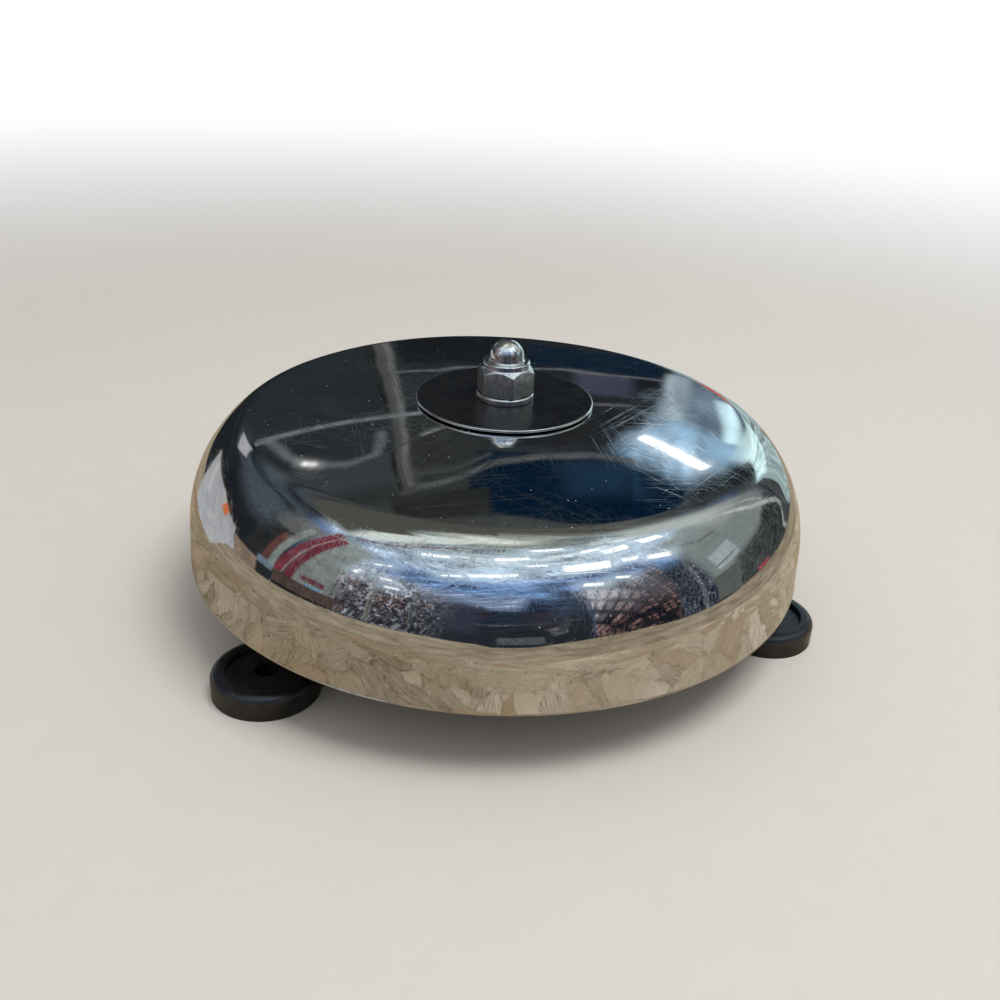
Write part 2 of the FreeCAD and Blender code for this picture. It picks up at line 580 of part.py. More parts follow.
def ring(label, inner, outer, bottom, top, along="Z", lift="0"):
    """A plain ring or tube: inner and outer radius, and its two ends along its line."""
    if along == "Z":
        corners = [(inner, bottom), (outer, bottom), (outer, top), (inner, top)]
    else:
        corners = [(bottom, inner), (top, inner), (top, outer), (bottom, outer)]
    return turned(label, corners, along, lift)


def screw_group(label, places, radius, grip, seat, stack):
    """Slotted cheese-head screws, one solid each, in one node.

    places are (x, y) pairs, seat is the height under the heads, and a screw reaches down
    through stack and then by grip into what it holds.
    """
    head_radius = f"{radius} * screw_head_ratio"
    head_height = f"{radius} * screw_head_height_ratio"
    screws = []
    for k, (x, y) in enumerate(places):
        shank = doc.addObject("Part::Cylinder", f"{label}_shank_{k}")
        bind(shank, "Radius", radius)
        bind(shank, "Height", f"{stack} + {grip}")
        bind(shank, ".Placement.Base.z", f"{seat} - ({stack}) - {grip}")
        head = doc.addObject("Part::Cylinder", f"{label}_head_{k}")
        bind(head, "Radius", head_radius)
        bind(head, "Height", head_height)
        bind(head, ".Placement.Base.z", seat)
        slot = doc.addObject("Part::Box", f"{label}_slot_{k}")
        bind(slot, "Length", f"2 * {head_radius} + 2")
        bind(slot, "Width", "screw_slot_width")
        bind(slot, "Height", head_height)
        bind(slot, ".Placement.Base.x", f"{x} - {head_radius} - 1")
        bind(slot, ".Placement.Base.y", f"{y} - screw_slot_width / 2")
        bind(slot, ".Placement.Base.z", f"{seat} + {head_height} / 2")
        for piece in (shank, head):
            bind(piece, ".Placement.Base.x", x)
            bind(piece, ".Placement.Base.y", y)
        screw = doc.addObject("Part::Fuse", f"{label}_blank_{k}")
        screw.Base, screw.Tool = shank, head
        slotted = doc.addObject("Part::Cut", f"{label}_screw_{k}")
        slotted.Base, slotted.Tool = screw, slot
        screws.append(slotted)
    group = doc.addObject("Part::Compound", label)
    group.Label = label
    group.Links = screws
    doc.recompute()
    made.append(group)
    return group


def on_circle(radius, degrees):
    """A place on a circle round the bolt's axis, as a pair of expressions."""
    return f"{radius} * cos({degrees})", f"{radius} * sin({degrees})"


LID_SCREW_ANGLES = [360 / LID_SCREWS * (k + 0.5) for k in range(LID_SCREWS)]
TAB_SCREWS = [("yoke_middle_x", "tab_screw_y"), ("yoke_middle_x", "0 - tab_screw_y")]
BOARD_SCREWS = [
    (x, y)
    for x in ("board_near_x - board_corner", "board_far_x + board_corner")
    for y in ("board_edge_y - board_corner", "board_corner - board_edge_y")
]

# ---------------------------------------------------------------- sealed drum


def make_base_housing():
    """The moulded drum with floor, central pillar, three arms with fixing pads, and bosses."""
    body = turned(
        "base_housing",
        [
            ("0", "0"),
            ("housing_radius", "0"),
            ("housing_radius", "wall_top_z"),
            ("housing_inner", "wall_top_z"),
            ("housing_inner", "housing_floor"),
            ("pillar_foot_radius", "housing_floor"),
            ("pillar_foot_radius", "pillar_foot_z"),
            ("pillar_radius", "pillar_foot_z"),
            ("pillar_radius", "wall_top_z"),
            ("0", "wall_top_z"),
        ],
    )
    add_pads(body)
    add_ears(body)
    add_striker_boss(body)
    add_gland_boss(body)
    add_seats(body)
    cut_bolt_way(body)
    cut_seals_and_back(body)
    return body


def add_pads(body):
    """Three arms and fixing pads, each with a rounded edge, a shallow soft-edged dish and a hole."""
    arm = new_sketch(body, "arm")
    rectangle(arm, "0 - arm_width / 2", "housing_inner", "arm_width / 2", "pad_circle")
    arm_pad = pad(body, arm, "arm_height")
    arms = polar(body, arm, [arm_pad], PADS, adds=True)
    body.Tip = arms
    disc = new_sketch(body, "pad")
    circles(disc, ("0", "pad_circle", "pad_radius"))
    disc_pad = pad(body, disc, "pad_height")
    polar(body, disc, [disc_pad], PADS, adds=True)
    top, radius = number("pad_height"), number("pad_radius")
    round_edges(body, "pad_edge", "pad_round", lambda e: is_circle(e, radius, top))
    dish = new_sketch(body, "dish", offset="pad_height")
    circles(dish, ("0", "pad_circle", "pad_radius - pad_lip"))
    dish_cut = pocket(body, dish, "pad_dish")
    polar(body, dish, [dish_cut], PADS, adds=False)
    lip = radius - number("pad_lip")
    round_edges(body, "dish_edge", "dish_round", lambda e: is_circle(e, lip, top))
    hole = new_sketch(body, "fixing_hole", offset="pad_height")
    circles(hole, ("0", "pad_circle", "fixing_hole_radius"))
    hole_cut = pocket(body, hole, "pad_height")
    polar(body, hole, [hole_cut], PADS, adds=False)


def add_ears(body):
    """Ears outside the wall for the lid's screws, with their threaded holes."""
    centre = on_circle("ear_circle", LID_SCREW_ANGLES[0])
    ear = new_sketch(body, "ear", offset="ear_z")
    circles(ear, (*centre, "ear_radius"))
    polar(body, ear, [pad(body, ear, "ear_height")], LID_SCREWS, adds=True)
    hole = new_sketch(body, "ear_hole", offset="wall_top_z")
    circles(hole, (*centre, "lid_screw_radius + thread_clearance"))
    cut = pocket(body, hole, "lid_screw_grip + screw_end_room")
    polar(body, hole, [cut], LID_SCREWS, adds=False)


def add_striker_boss(body):
    """Boss and spigot round the striker's way through the wall, bored for the guide bush."""
    boss = new_sketch(body, "striker_boss", "YZ", "boss_inner_x")
    circles(boss, ("0", "axis_z", "striker_boss_radius"))
    pad(body, boss, "boss_outer_x - boss_inner_x")
    spigot = new_sketch(body, "spigot", "YZ", "boss_inner_x")
    circles(spigot, ("0", "axis_z", "spigot_radius"))
    pad(body, spigot, "spigot_x - boss_inner_x")
    bore = new_sketch(body, "bush_seat", "YZ", "boss_inner_x")
    circles(bore, ("0", "axis_z", "bush_radius + fixed_fit_clearance"))
    pocket(body, bore, "spigot_x - boss_inner_x", up=True)


def add_gland_boss(body):
    """Boss round the cable gland, with its threaded hole and the recess of its sealing ring."""
    boss = new_sketch(body, "gland_boss", "XZ", "gland_inner_y")
    circles(boss, ("0", "gland_height", "gland_boss_radius"))
    pad(body, boss, "gland_face_y - gland_inner_y")
    bore = new_sketch(body, "gland_hole", "XZ", "gland_inner_y")
    circles(bore, ("0", "gland_height", "gland_thread_radius + thread_clearance"))
    pocket(body, bore, "gland_face_y - gland_inner_y", up=True)
    recess = new_sketch(body, "gland_ring_seat", "XZ", "gland_face_y")
    circles(recess, ("0", "gland_height", "gland_thread_radius + gland_ring_width + sleeve_clearance"))
    pocket(body, recess, "gland_ring_depth")


def add_seats(body):
    """Pedestals under the yoke, the buffer post on the pillar, and the board's stand-offs."""
    pedestal = new_sketch(body, "pedestal", offset="housing_floor")
    rectangle(pedestal, "yoke_rear_x", "0 - pedestal_width / 2", "yoke_front_x", "pedestal_width / 2")
    pad(body, pedestal, "pedestal_height")
    wings = new_sketch(body, "tab_pedestal", offset="housing_floor")
    half = "yoke_tab_length / 2"
    rectangle(wings, f"yoke_middle_x - {half}", "0 - yoke_tab_reach", f"yoke_middle_x + {half}", "yoke_tab_reach")
    pad(body, wings, "pedestal_height")
    tab_holes = new_sketch(body, "tab_hole", offset="yoke_z")
    circles(tab_holes, *[(x, y, "yoke_screw_radius + thread_clearance") for x, y in TAB_SCREWS])
    pocket(body, tab_holes, "yoke_screw_grip + screw_end_room")
    post = new_sketch(body, "buffer_post", offset="housing_floor")
    rectangle(post, "bolt_radius + bolt_clearance + post_depth", "0 - post_width / 2", "post_x", "post_width / 2")
    pad(body, post, "axis_z + post_width / 2 - housing_floor")
    stem = new_sketch(body, "buffer_seat", "YZ", "post_x")
    circles(stem, ("0", "axis_z", "buffer_stem_radius + sleeve_clearance"))
    pocket(body, stem, "buffer_stem_length + sleeve_clearance")
    standoffs = new_sketch(body, "standoff", offset="housing_floor")
    circles(standoffs, *[(x, y, "standoff_radius") for x, y in BOARD_SCREWS])
    pad(body, standoffs, "standoff_height")
    board_holes = new_sketch(body, "board_hole", offset="board_z")
    circles(board_holes, *[(x, y, "board_screw_radius + thread_clearance") for x, y in BOARD_SCREWS])
    pocket(body, board_holes, "board_screw_grip + screw_end_room")


def cut_bolt_way(body):
    """The bolt's hole through the pillar, and its head's hexagonal pocket in the back."""
    bore = new_sketch(body, "bolt_hole", offset="wall_top_z")
    circles(bore, ("0", "0", "bolt_radius + bolt_clearance"))
    pocket(body, bore, "wall_top_z")
    head = new_sketch(body, "bolt_head_pocket")
    hexagon(head, "bolt_head_flats + 2 * bolt_clearance")
    pocket(body, head, "bolt_pocket_z", up=True)
    seal = new_sketch(body, "pillar_seal_seat", offset="wall_top_z")
    circles(seal, ("0", "0", "bolt_radius + bolt_clearance + pillar_seal_width"))
    pocket(body, seal, "pillar_seal_depth")


def cut_seals_and_back(body):
    """The gasket's groove in the wall's top, and the shallow relief in the mounting face."""
    groove = new_sketch(body, "gasket_groove", offset="wall_top_z")
    circles(
        groove,
        ("0", "0", "gasket_inner - gasket_clearance"),
        ("0", "0", "gasket_outer + gasket_clearance"),
    )
    pocket(body, groove, "gasket_depth")
    relief = new_sketch(body, "back_relief")
    circles(relief, ("0", "0", "pillar_foot_radius"), ("0", "0", "back_recess_outer"))
    pocket(body, relief, "back_recess_depth", up=True)


def make_housing_lid():
    """The lid: a disc with four ears, a raised boss and the holes for bolt and screws."""
    body = new_body("housing_lid")
    centre = on_circle("ear_circle", LID_SCREW_ANGLES[0])
    disc = new_sketch(body, "disc", offset="wall_top_z")
    circles(disc, ("0", "0", "housing_radius"))
    pad(body, disc, "lid_thickness")
    ear = new_sketch(body, "ear", offset="wall_top_z")
    circles(ear, (*centre, "ear_radius"))
    polar(body, ear, [pad(body, ear, "lid_thickness")], LID_SCREWS, adds=True)
    top, radius = number("lid_top_z"), number("housing_radius")
    round_edges(body, "edge", "lid_edge_round", lambda e: is_circle(e, radius, top))
    boss = new_sketch(body, "boss", offset="wall_top_z")
    circles(boss, ("0", "0", "lid_boss_radius"))
    pad(body, boss, "lid_boss_z - wall_top_z")
    bore = new_sketch(body, "bolt_hole", offset="lid_boss_z")
    circles(bore, ("0", "0", "bolt_radius + bolt_clearance"))
    pocket(body, bore, "lid_boss_z - wall_top_z")
    hole = new_sketch(body, "screw_hole", offset="lid_top_z")
    circles(hole, (*centre, "lid_screw_radius + screw_hole_clearance"))
    polar(body, hole, [pocket(body, hole, "lid_thickness")], LID_SCREWS, adds=False)
    return body


def make_drum():
    """Everything that closes and seals the drum."""
    make_base_housing()
    make_housing_lid()
    ring("lid_gasket", "gasket_inner", "gasket_outer", "wall_top_z - gasket_depth", "wall_top_z")
    places = [on_circle("ear_circle", angle) for angle in LID_SCREW_ANGLES]
    screw_group("lid_screws", places, "lid_screw_radius", "lid_screw_grip", "lid_top_z", "lid_thickness")


# ---------------------------------------------------------------- gong and the stack on its bolt


def make_gong():
    """The pressed gong: skirt, shoulder, edge and nearly flat crown, of even thickness."""
    at_end = "gong_shoulder_end"
    body = turned(
        "gong",
        [
            ("gong_radius - gong_wall / cos(gong_skirt_draft)", "0"),
            ("gong_radius", "0"),
            ("shoulder_r", "gong_skirt_height", "gong_shoulder_radius", 1),
            (
                f"shoulder_centre_r + gong_shoulder_radius * cos({at_end})",
                f"shoulder_centre_h + gong_shoulder_radius * sin({at_end})",
                "gong_edge_radius",
                1,
            ),
            (
                "gong_crown_radius * crown_slope_r",
                "crown_centre_h + gong_crown_radius * crown_slope_h",
                "gong_crown_radius",
                1,
            ),
            ("gong_seat_radius", "gong_height"),
            ("gong_hole_radius", "gong_height"),
            ("gong_hole_radius", "gong_inner_height"),
            ("gong_seat_radius", "gong_inner_height", "crown_inner_radius", -1),
            (
                "crown_inner_radius * crown_slope_r",
                "crown_centre_h + crown_inner_radius * crown_slope_h",
                "gong_edge_radius - gong_wall",
                -1,
            ),
            (
                f"shoulder_centre_r + (gong_shoulder_radius - gong_wall) * cos({at_end})",
                f"shoulder_centre_h + (gong_shoulder_radius - gong_wall) * sin({at_end})",
                "gong_shoulder_radius - gong_wall",
                -1,
            ),
            (
                "shoulder_r - gong_wall * cos(gong_skirt_draft)",
                "gong_skirt_height - gong_wall * sin(gong_skirt_draft)",
            ),
        ],
        lift="rim_z",
    )
    inner = number("gong_radius - gong_wall / cos(gong_skirt_draft)")
    rim = [number("gong_radius"), inner]
    round_edges(body, "lip", "gong_lip_round", lambda e: any(is_circle(e, r, 0) for r in rim))
    return body


def make_gong_bolt():
    """The hexagon bolt that carries the gong, from the back of the drum into the cap nut."""
    body = new_body("gong_bolt")
    head = new_sketch(body, "head", offset="bolt_head_recess")
    hexagon(head, "bolt_head_flats")
    pad(body, head, "bolt_head_height")
    shank = new_sketch(body, "shank", offset="bolt_head_recess")
    circles(shank, ("0", "0", "bolt_radius"))
    pad(body, shank, "bolt_end_z - bolt_head_recess")
    top = number("bolt_end_z")
    round_edges(body, "end", "bolt_radius / 5", lambda e: is_circle(e, number("bolt_radius"), top), "Chamfer")
    return body


def make_gong_pillar():
    """The hexagonal pillar nut that clamps the lid and sets the gong's height."""
    body = new_body("gong_pillar")
    blank = new_sketch(body, "blank", offset="gong_pillar_z")
    hexagon(blank, "gong_pillar_flats")
    pad(body, blank, "gong_washer_z - gong_pillar_z")
    bore = new_sketch(body, "bore", offset="gong_washer_z")
    circles(bore, ("0", "0", "bolt_radius + thread_clearance"))
    pocket(body, bore, "gong_washer_z - gong_pillar_z")
    return body


def make_cap_nut():
    """The self-locking domed nut: chamfered hexagon, collar for the nylon ring, and dome."""
    body = new_body("cap_nut", "nut_z")
    blank = new_sketch(body, "hexagon")
    hexagon(blank, "bolt_head_flats")
    pad(body, blank, "nut_collar_height")
    corner = "bolt_head_corner"
    beyond = f"{corner} + 1"
    chamfers = new_sketch(body, "chamfer", "XZ")
    slope = f"({corner} - nut_collar_radius)"
    outline(
        chamfers,
        [
            ("nut_collar_radius", f"nut_corner_height + {slope}"),
            (corner, "nut_corner_height"),
            (beyond, "nut_corner_height"),
            (beyond, "nut_collar_height + 1"),
            ("nut_collar_radius", "nut_collar_height + 1"),
        ],
    )
    revolve(body, chamfers, "V_Axis", cut=True)
    foot = new_sketch(body, "foot", "XZ")
    outline(foot, [(corner, "nut_foot_chamfer"), (f"{corner} - 2 * nut_foot_chamfer", "0"), (corner, "0")])
    revolve(body, foot, "V_Axis", cut=True)
    top, radius = number("nut_collar_height"), number("nut_collar_radius")
    round_edges(body, "collar", "nut_collar_round", lambda e: is_circle(e, radius, top))
    dome = new_sketch(body, "dome", "XZ")
    outline(
        dome,
        [
            ("0", "nut_thread_depth - locking_ring_height"),
            ("nut_dome_radius", "nut_thread_depth - locking_ring_height"),
            ("nut_dome_radius", "nut_collar_height + nut_dome_rise", "nut_dome_radius", 1),
            ("0", "nut_collar_height + nut_dome_rise + nut_dome_radius"),
        ],
    )
    revolve(body, dome, "V_Axis")
    bore = new_sketch(body, "bore")
    circles(bore, ("0", "0", "bolt_radius + thread_clearance"))
    pocket(body, bore, "nut_thread_depth", up=True)
    seat = new_sketch(body, "locking_ring_seat", offset="nut_corner_height - locking_ring_height / 2")
    circles(seat, ("0", "0", "bolt_radius + thread_clearance + locking_ring_width"))
    pocket(body, seat, "locking_ring_height", up=True)
    return body


def make_gong_stack():
    """The gong with its bolt, pillar nut, washers, seals, cushion, disc and cap nut."""
    bolt_hole = "bolt_radius + bolt_clearance"
    make_gong()
    make_gong_bolt()
    ring("bolt_seal", bolt_hole, "bolt_head_flats / 2 - bolt_clearance", "bolt_head_top_z", "bolt_pocket_z")
    seal_outer = f"{bolt_hole} + pillar_seal_width - sleeve_clearance"
    ring("pillar_seal", bolt_hole, seal_outer, "wall_top_z - pillar_seal_depth", "wall_top_z")
    ring("pillar_washer", bolt_hole, "pillar_washer_radius", "lid_boss_z", "gong_pillar_z")
    make_gong_pillar()
    ring("gong_washer", bolt_hole, "gong_washer_radius", "gong_washer_z", "cushion_z")
    turned(
        "gong_cushion",
        [
            (bolt_hole, "cushion_z"),
            ("cushion_radius", "cushion_z"),
            ("cushion_radius", "seat_under_z"),
            ("gong_hole_radius - cushion_clearance", "seat_under_z"),
            ("gong_hole_radius - cushion_clearance", "seat_z"),
            (bolt_hole, "seat_z"),
        ],
    )
    ring("crown_disc", bolt_hole, "disc_radius", "seat_z", "disc_top_z")
    washer = ring("nut_washer", bolt_hole, "nut_washer_radius", "disc_top_z", "nut_z")
    edge, top = number("nut_washer_radius"), number("nut_z")
    round_edges(washer, "edge", "nut_washer_thickness / 5", lambda e: is_circle(e, edge, top))
    make_cap_nut()
    ring(
        "nut_locking_ring",
        "bolt_radius + thread_clearance",
        "bolt_radius + locking_ring_width",
        "nut_corner_height - locking_ring_height / 2",
        "nut_corner_height + locking_ring_height / 2",
        lift="nut_z",
    )


# ---------------------------------------------------------------- solenoid


def make_yoke():
    """The bent steel yoke: base with two fixing tabs, and two legs with tenons."""
    body = new_body("solenoid_yoke")
    side = new_sketch(body, "side", "XZ", "0 - yoke_width / 2")
    outline(
        side,
        [
            ("yoke_rear_x", "yoke_z"),
            ("yoke_front_x", "yoke_z"),
            ("yoke_front_x", "strap_z"),
            ("coil_front_x", "strap_z"),
            ("coil_front_x", "yoke_top_z"),
            ("coil_rear_x", "yoke_top_z"),
            ("coil_rear_x", "strap_z"),
            ("yoke_rear_x", "strap_z"),
        ],
    )
    pad(body, side, "yoke_width")
    tabs = new_sketch(body, "tabs", offset="yoke_z")
    half = "yoke_tab_length / 2"
    rectangle(tabs, f"yoke_middle_x - {half}", "0 - yoke_tab_reach", f"yoke_middle_x + {half}", "yoke_tab_reach")
    pad(body, tabs, "yoke_thickness")
    for name, start, end in (
        ("rear_tenon", "yoke_rear_x", "coil_rear_x"),
        ("front_tenon", "coil_front_x", "yoke_front_x"),
    ):
        tenon = new_sketch(body, name, offset="strap_z - yoke_thickness")
        rectangle(tenon, start, "0 - yoke_tenon_width / 2", end, "yoke_tenon_width / 2")
        pad(body, tenon, "2 * yoke_thickness")
    holes = new_sketch(body, "tab_holes", offset="yoke_top_z")
    circles(holes, *[(x, y, "yoke_screw_radius + screw_hole_clearance") for x, y in TAB_SCREWS])
    pocket(body, holes, "yoke_thickness")
    rear = new_sketch(body, "tube_hole", "YZ", "yoke_rear_x")
    circles(rear, ("0", "axis_z", "tube_seat"))
    pocket(body, rear, "yoke_thickness", up=True)
    front = new_sketch(body, "pole_hole", "YZ", "coil_front_x")
    circles(front, ("0", "axis_z", "pole_spigot_radius + fixed_fit_clearance"))
    pocket(body, front, "yoke_thickness", up=True)
    return body


def make_yoke_strap():
    """The steel strap across the legs' tops, with a slot for each tenon."""
    body = new_body("yoke_strap")
    plate = new_sketch(body, "plate", offset="strap_z")
    rectangle(plate, "yoke_rear_x - tenon_clearance", "0 - yoke_width / 2", "yoke_front_x + tenon_clearance", "yoke_width / 2")
    pad(body, plate, "yoke_thickness")
    slots = new_sketch(body, "slots", offset="strap_z + yoke_thickness")
    room = "yoke_tenon_width / 2 + tenon_clearance"
    ends = [
        ("yoke_rear_x - 2 * tenon_clearance", "coil_rear_x + tenon_clearance"),
        ("coil_front_x - tenon_clearance", "yoke_front_x + 2 * tenon_clearance"),
    ]
    for start, end in ends:
        rectangle(slots, start, f"0 - ({room})", end, room)
    pocket(body, slots, "yoke_thickness")
    return body


def make_coil():
    """Bobbin, winding, tape, brass guide tube and pole piece, all round the striker's line."""
    along = {"along": "X", "lift": "axis_z"}
    turned(
        "coil_bobbin",
        [
            ("bobbin_rear_x", "tube_seat"),
            ("bobbin_front_x", "tube_seat"),
            ("bobbin_front_x", "coil_radius"),
            ("bobbin_front_x - bobbin_flange", "coil_radius"),
            ("bobbin_front_x - bobbin_flange", "bobbin_radius"),
            ("bobbin_rear_x + bobbin_flange", "bobbin_radius"),
            ("bobbin_rear_x + bobbin_flange", "coil_radius"),
            ("bobbin_rear_x", "coil_radius"),
        ],
        **along,
    )
    ring("coil_winding", "winding_inner", "winding_outer", "winding_rear_x", "winding_front_x", **along)
    ring("coil_tape", "tape_inner", "tape_inner + tape_thickness", "winding_rear_x", "winding_front_x", **along)
    ring("guide_tube", "guide_tube_bore", "tube_radius", "yoke_rear_x", "coil_front_x - sleeve_clearance", **along)
    turned(
        "pole_piece",
        [
            ("pole_x", "rod_radius + pole_bore_clearance"),
            ("yoke_front_x", "rod_radius + pole_bore_clearance"),
            ("yoke_front_x", "pole_spigot_radius"),
            ("coil_front_x", "pole_spigot_radius"),
            ("coil_front_x", "guide_tube_bore - sleeve_clearance"),
            ("pole_x", "guide_tube_bore - sleeve_clearance"),
        ],
        **along,
    )
    turned(
        "stop_buffer",
        [
            ("post_x - buffer_stem_length", "0"),
            ("buffer_x", "0"),
            ("buffer_x", "buffer_radius"),
            ("post_x", "buffer_radius"),
            ("post_x", "buffer_stem_radius"),
            ("post_x - buffer_stem_length", "buffer_stem_radius"),
        ],
        **along,
    )


# ---------------------------------------------------------------- striker


def make_plunger():
    """The steel plunger: spring recess and rod seat in front, and a cross hole for the pin."""
    body = turned(
        "plunger",
        [
            ("plunger_x", "0"),
            ("rod_x", "0"),
            ("rod_x", "rod_radius + fixed_fit_clearance"),
            ("recess_x", "rod_radius + fixed_fit_clearance"),
            ("recess_x", "spring_recess_radius"),
            ("plunger_front_x", "spring_recess_radius"),
            ("plunger_front_x", "plunger_radius"),
            ("plunger_x", "plunger_radius"),
        ],
        along="X",
        lift="axis_z",
    )
    cross = new_sketch(body, "pin_hole", offset="plunger_radius")
    circles(cross, ("pin_x", "0", "pin_radius + fixed_fit_clearance"))
    pocket(body, cross, "2 * plunger_radius")
    return body


def make_push_rod():
    """The push rod, with a cross hole for the pin."""
    body = turned(
        "push_rod",
        [("rod_x", "0"), ("rod_end_x", "0"), ("rod_end_x", "rod_radius"), ("rod_x", "rod_radius")],
        along="X",
        lift="axis_z",
    )
    cross = new_sketch(body, "pin_hole", offset="rod_radius")
    circles(cross, ("pin_x", "0", "pin_radius + fixed_fit_clearance"))
    pocket(body, cross, "2 * rod_radius")
    return body


def make_striker_head():
    """The hardened head: neck, body and a rounded end that meets the gong."""
    return turned(
        "striker_head",
        [
            ("neck_x", "rod_radius + fixed_fit_clearance"),
            ("rod_end_x + fixed_fit_clearance", "rod_radius + fixed_fit_clearance"),
            ("rod_end_x + fixed_fit_clearance", "0"),
            (
                "head_tip_x",
                "0",
                "(head_radius * head_radius + head_crown * head_crown) / (2 * head_crown)",
                1,
            ),
            ("head_tip_x - head_crown", "head_radius"),
            ("head_x", "head_radius"),
            ("head_x", "neck_radius"),
            ("neck_x", "neck_radius"),
        ],
        along="X",
        lift="axis_z",
    )


def make_return_spring():
    """The compression spring between the plunger's recess and the pole piece."""
    body = new_body("return_spring", "axis_z")
    wire = new_sketch(body, "wire", "XZ")
    start = "recess_x + spring_wire_radius + sleeve_clearance"
    end = "pole_x - spring_wire_radius - sleeve_clearance"
    circles(wire, (start, "spring_mean_radius", "spring_wire_radius"))
    coil = body.newObject("PartDesign::AdditiveHelix", "return_spring_helix")
    coil.Profile = (wire, [""])
    coil.ReferenceAxis = (wire, ["H_Axis"])
    coil.Mode = "height-turns-growth"
    bind(coil, "Height", f"{end} - ({start})")
    bind(coil, "Turns", "spring_turns")
    finish_feature(body, coil, adds=True)
    return body


def make_bellows():
    """The rubber bellows from the drum's spigot to the head's neck, and its wire ring."""
    seat = "spigot_radius + bellows_clearance"
    grip = "neck_radius + bellows_clearance"
    start = "boss_outer_x + bellows_seat_gap"
    end = "head_x - bellows_seat_gap"
    folds = [
        ("spigot_x + bellows_span / 4", "bellows_valley"),
        ("spigot_x + bellows_span / 2", "bellows_crest"),
        ("spigot_x + bellows_span * 3 / 4", "bellows_valley"),
    ]
    inner = [(x, f"{r} - bellows_wall") for x, r in folds]
    turned(
        "striker_bellows",
        [(start, seat), ("spigot_x", seat), *inner, ("neck_x", grip), (end, grip)]
        + [(end, f"{grip} + bellows_wall"), ("neck_x", f"{grip} + bellows_wall")]
        + folds[::-1]
        + [("spigot_x", f"{seat} + bellows_wall"), (start, f"{seat} + bellows_wall")],
        along="X",
        lift="axis_z",
    )
    clamp = new_body("bellows_clamp", "axis_z")
    wire = new_sketch(clamp, "wire", "XZ")
    circles(
        wire,
        (
            f"({start} + spigot_x) / 2",
            f"{seat} + bellows_wall + clamp_wire_radius + sleeve_clearance",
            "clamp_wire_radius",
        ),
    )
    revolve(clamp, wire, "H_Axis")


def make_striker():
    """The moving striker, its guide bush, spring and bellows."""
    make_plunger()
    make_push_rod()
    pin = doc.addObject("Part::Cylinder", "plunger_pin")
    pin.Label = "plunger_pin"
    bind(pin, "Radius", "pin_radius")
    bind(pin, "Height", "2 * (plunger_radius - plunger_clearance)")
    bind(pin, ".Placement.Base.x", "pin_x")
    bind(pin, ".Placement.Base.z", "axis_z - plunger_radius + plunger_clearance")
    made.append(pin)
    make_striker_head()
    turned(
        "striker_bush",
        [
            ("bush_x", "rod_radius + rod_clearance"),
            ("spigot_x", "rod_radius + rod_clearance"),
            ("spigot_x", "bush_radius"),
            ("boss_inner_x", "bush_radius"),
            ("boss_inner_x", "bush_flange_radius"),
            ("bush_x", "bush_flange_radius"),
        ],
        along="X",
        lift="axis_z",
    )
    make_return_spring()
    make_bellows()


# ---------------------------------------------------------------- cable gland


def make_gland():
    """Cable gland on the drum's side: body, sealing ring, rubber seal and cap, without a cable."""
    along = {"along": "Y", "lift": "gland_height"}
    mouth = "gland_seal_radius + sleeve_clearance"
    body = new_body("gland_body", "gland_height")
    hexagonal = new_sketch(body, "hexagon", "XZ", "gland_face_y")
    hexagon(hexagonal, "gland_flats")
    pad(body, hexagonal, "gland_flange")
    thread = new_sketch(body, "thread", "XZ", "gland_inner_y")
    circles(thread, ("0", "0", "gland_thread_radius"))
    pad(body, thread, "gland_body_end_y - gland_inner_y")
    bore = new_sketch(body, "bore", "XZ", "gland_inner_y")
    circles(bore, ("0", "0", "gland_bore_radius"))
    pocket(body, bore, "gland_body_end_y - gland_inner_y", up=True)
    seat = new_sketch(body, "seal_seat", "XZ", "gland_seal_y")
    circles(seat, ("0", "0", mouth))
    pocket(body, seat, "gland_seal_length", up=True)

    cap = new_body("gland_cap", "gland_height")
    outer = new_sketch(cap, "hexagon", "XZ", "gland_cap_y")
    hexagon(outer, "gland_flats")
    pad(cap, outer, "gland_cap_hexagon")
    nose = new_sketch(cap, "nose", "XZ", "gland_cap_y")
    circles(nose, ("0", "0", "gland_flats / 2"))
    pad(cap, nose, "gland_end_y - gland_cap_y")
    end, radius = -number("gland_end_y"), number("gland_flats / 2")
    round_edges(cap, "nose_edge", "gland_cap_wall / 2", lambda e: is_circle(e, radius) and abs(e.Curve.Center.y - end) < 1e-4)
    cap_bore = new_sketch(cap, "bore", "XZ", "gland_cap_y")
    circles(cap_bore, ("0", "0", "gland_cap_bore"))
    pocket(cap, cap_bore, "gland_end_y - gland_cap_wall - gland_cap_y", up=True)
    cap_mouth = new_sketch(cap, "mouth", "XZ", "gland_cap_y")
    circles(cap_mouth, ("0", "0", "gland_mouth_radius"))
    pocket(cap, cap_mouth, "gland_end_y - gland_cap_y", up=True)

    back = "0 - "
    ring("gland_seal", "gland_seal_bore", "gland_seal_radius", f"{back}gland_seal_end_y", f"{back}gland_seal_y", **along)
    inner = "gland_thread_radius + sleeve_clearance"
    outer_radius = "gland_thread_radius + gland_ring_width"
    ring("gland_ring", inner, outer_radius, f"{back}gland_face_y", f"{back}gland_face_y + gland_ring_depth", **along)


# ---------------------------------------------------------------- circuit board


def make_circuit_board():
    """The board with its four screw holes."""
    body = new_body("circuit_board", "board_z")
    plate = new_sketch(body, "plate")
    rectangle(plate, "board_far_x", "0 - board_edge_y", "board_near_x", "board_edge_y")
    pad(body, plate, "board_thickness")
    holes = new_sketch(body, "holes", offset="board_thickness")
    circles(holes, *[(x, y, "board_screw_radius + screw_hole_clearance") for x, y in BOARD_SCREWS])
    pocket(body, holes, "board_thickness")
    return body


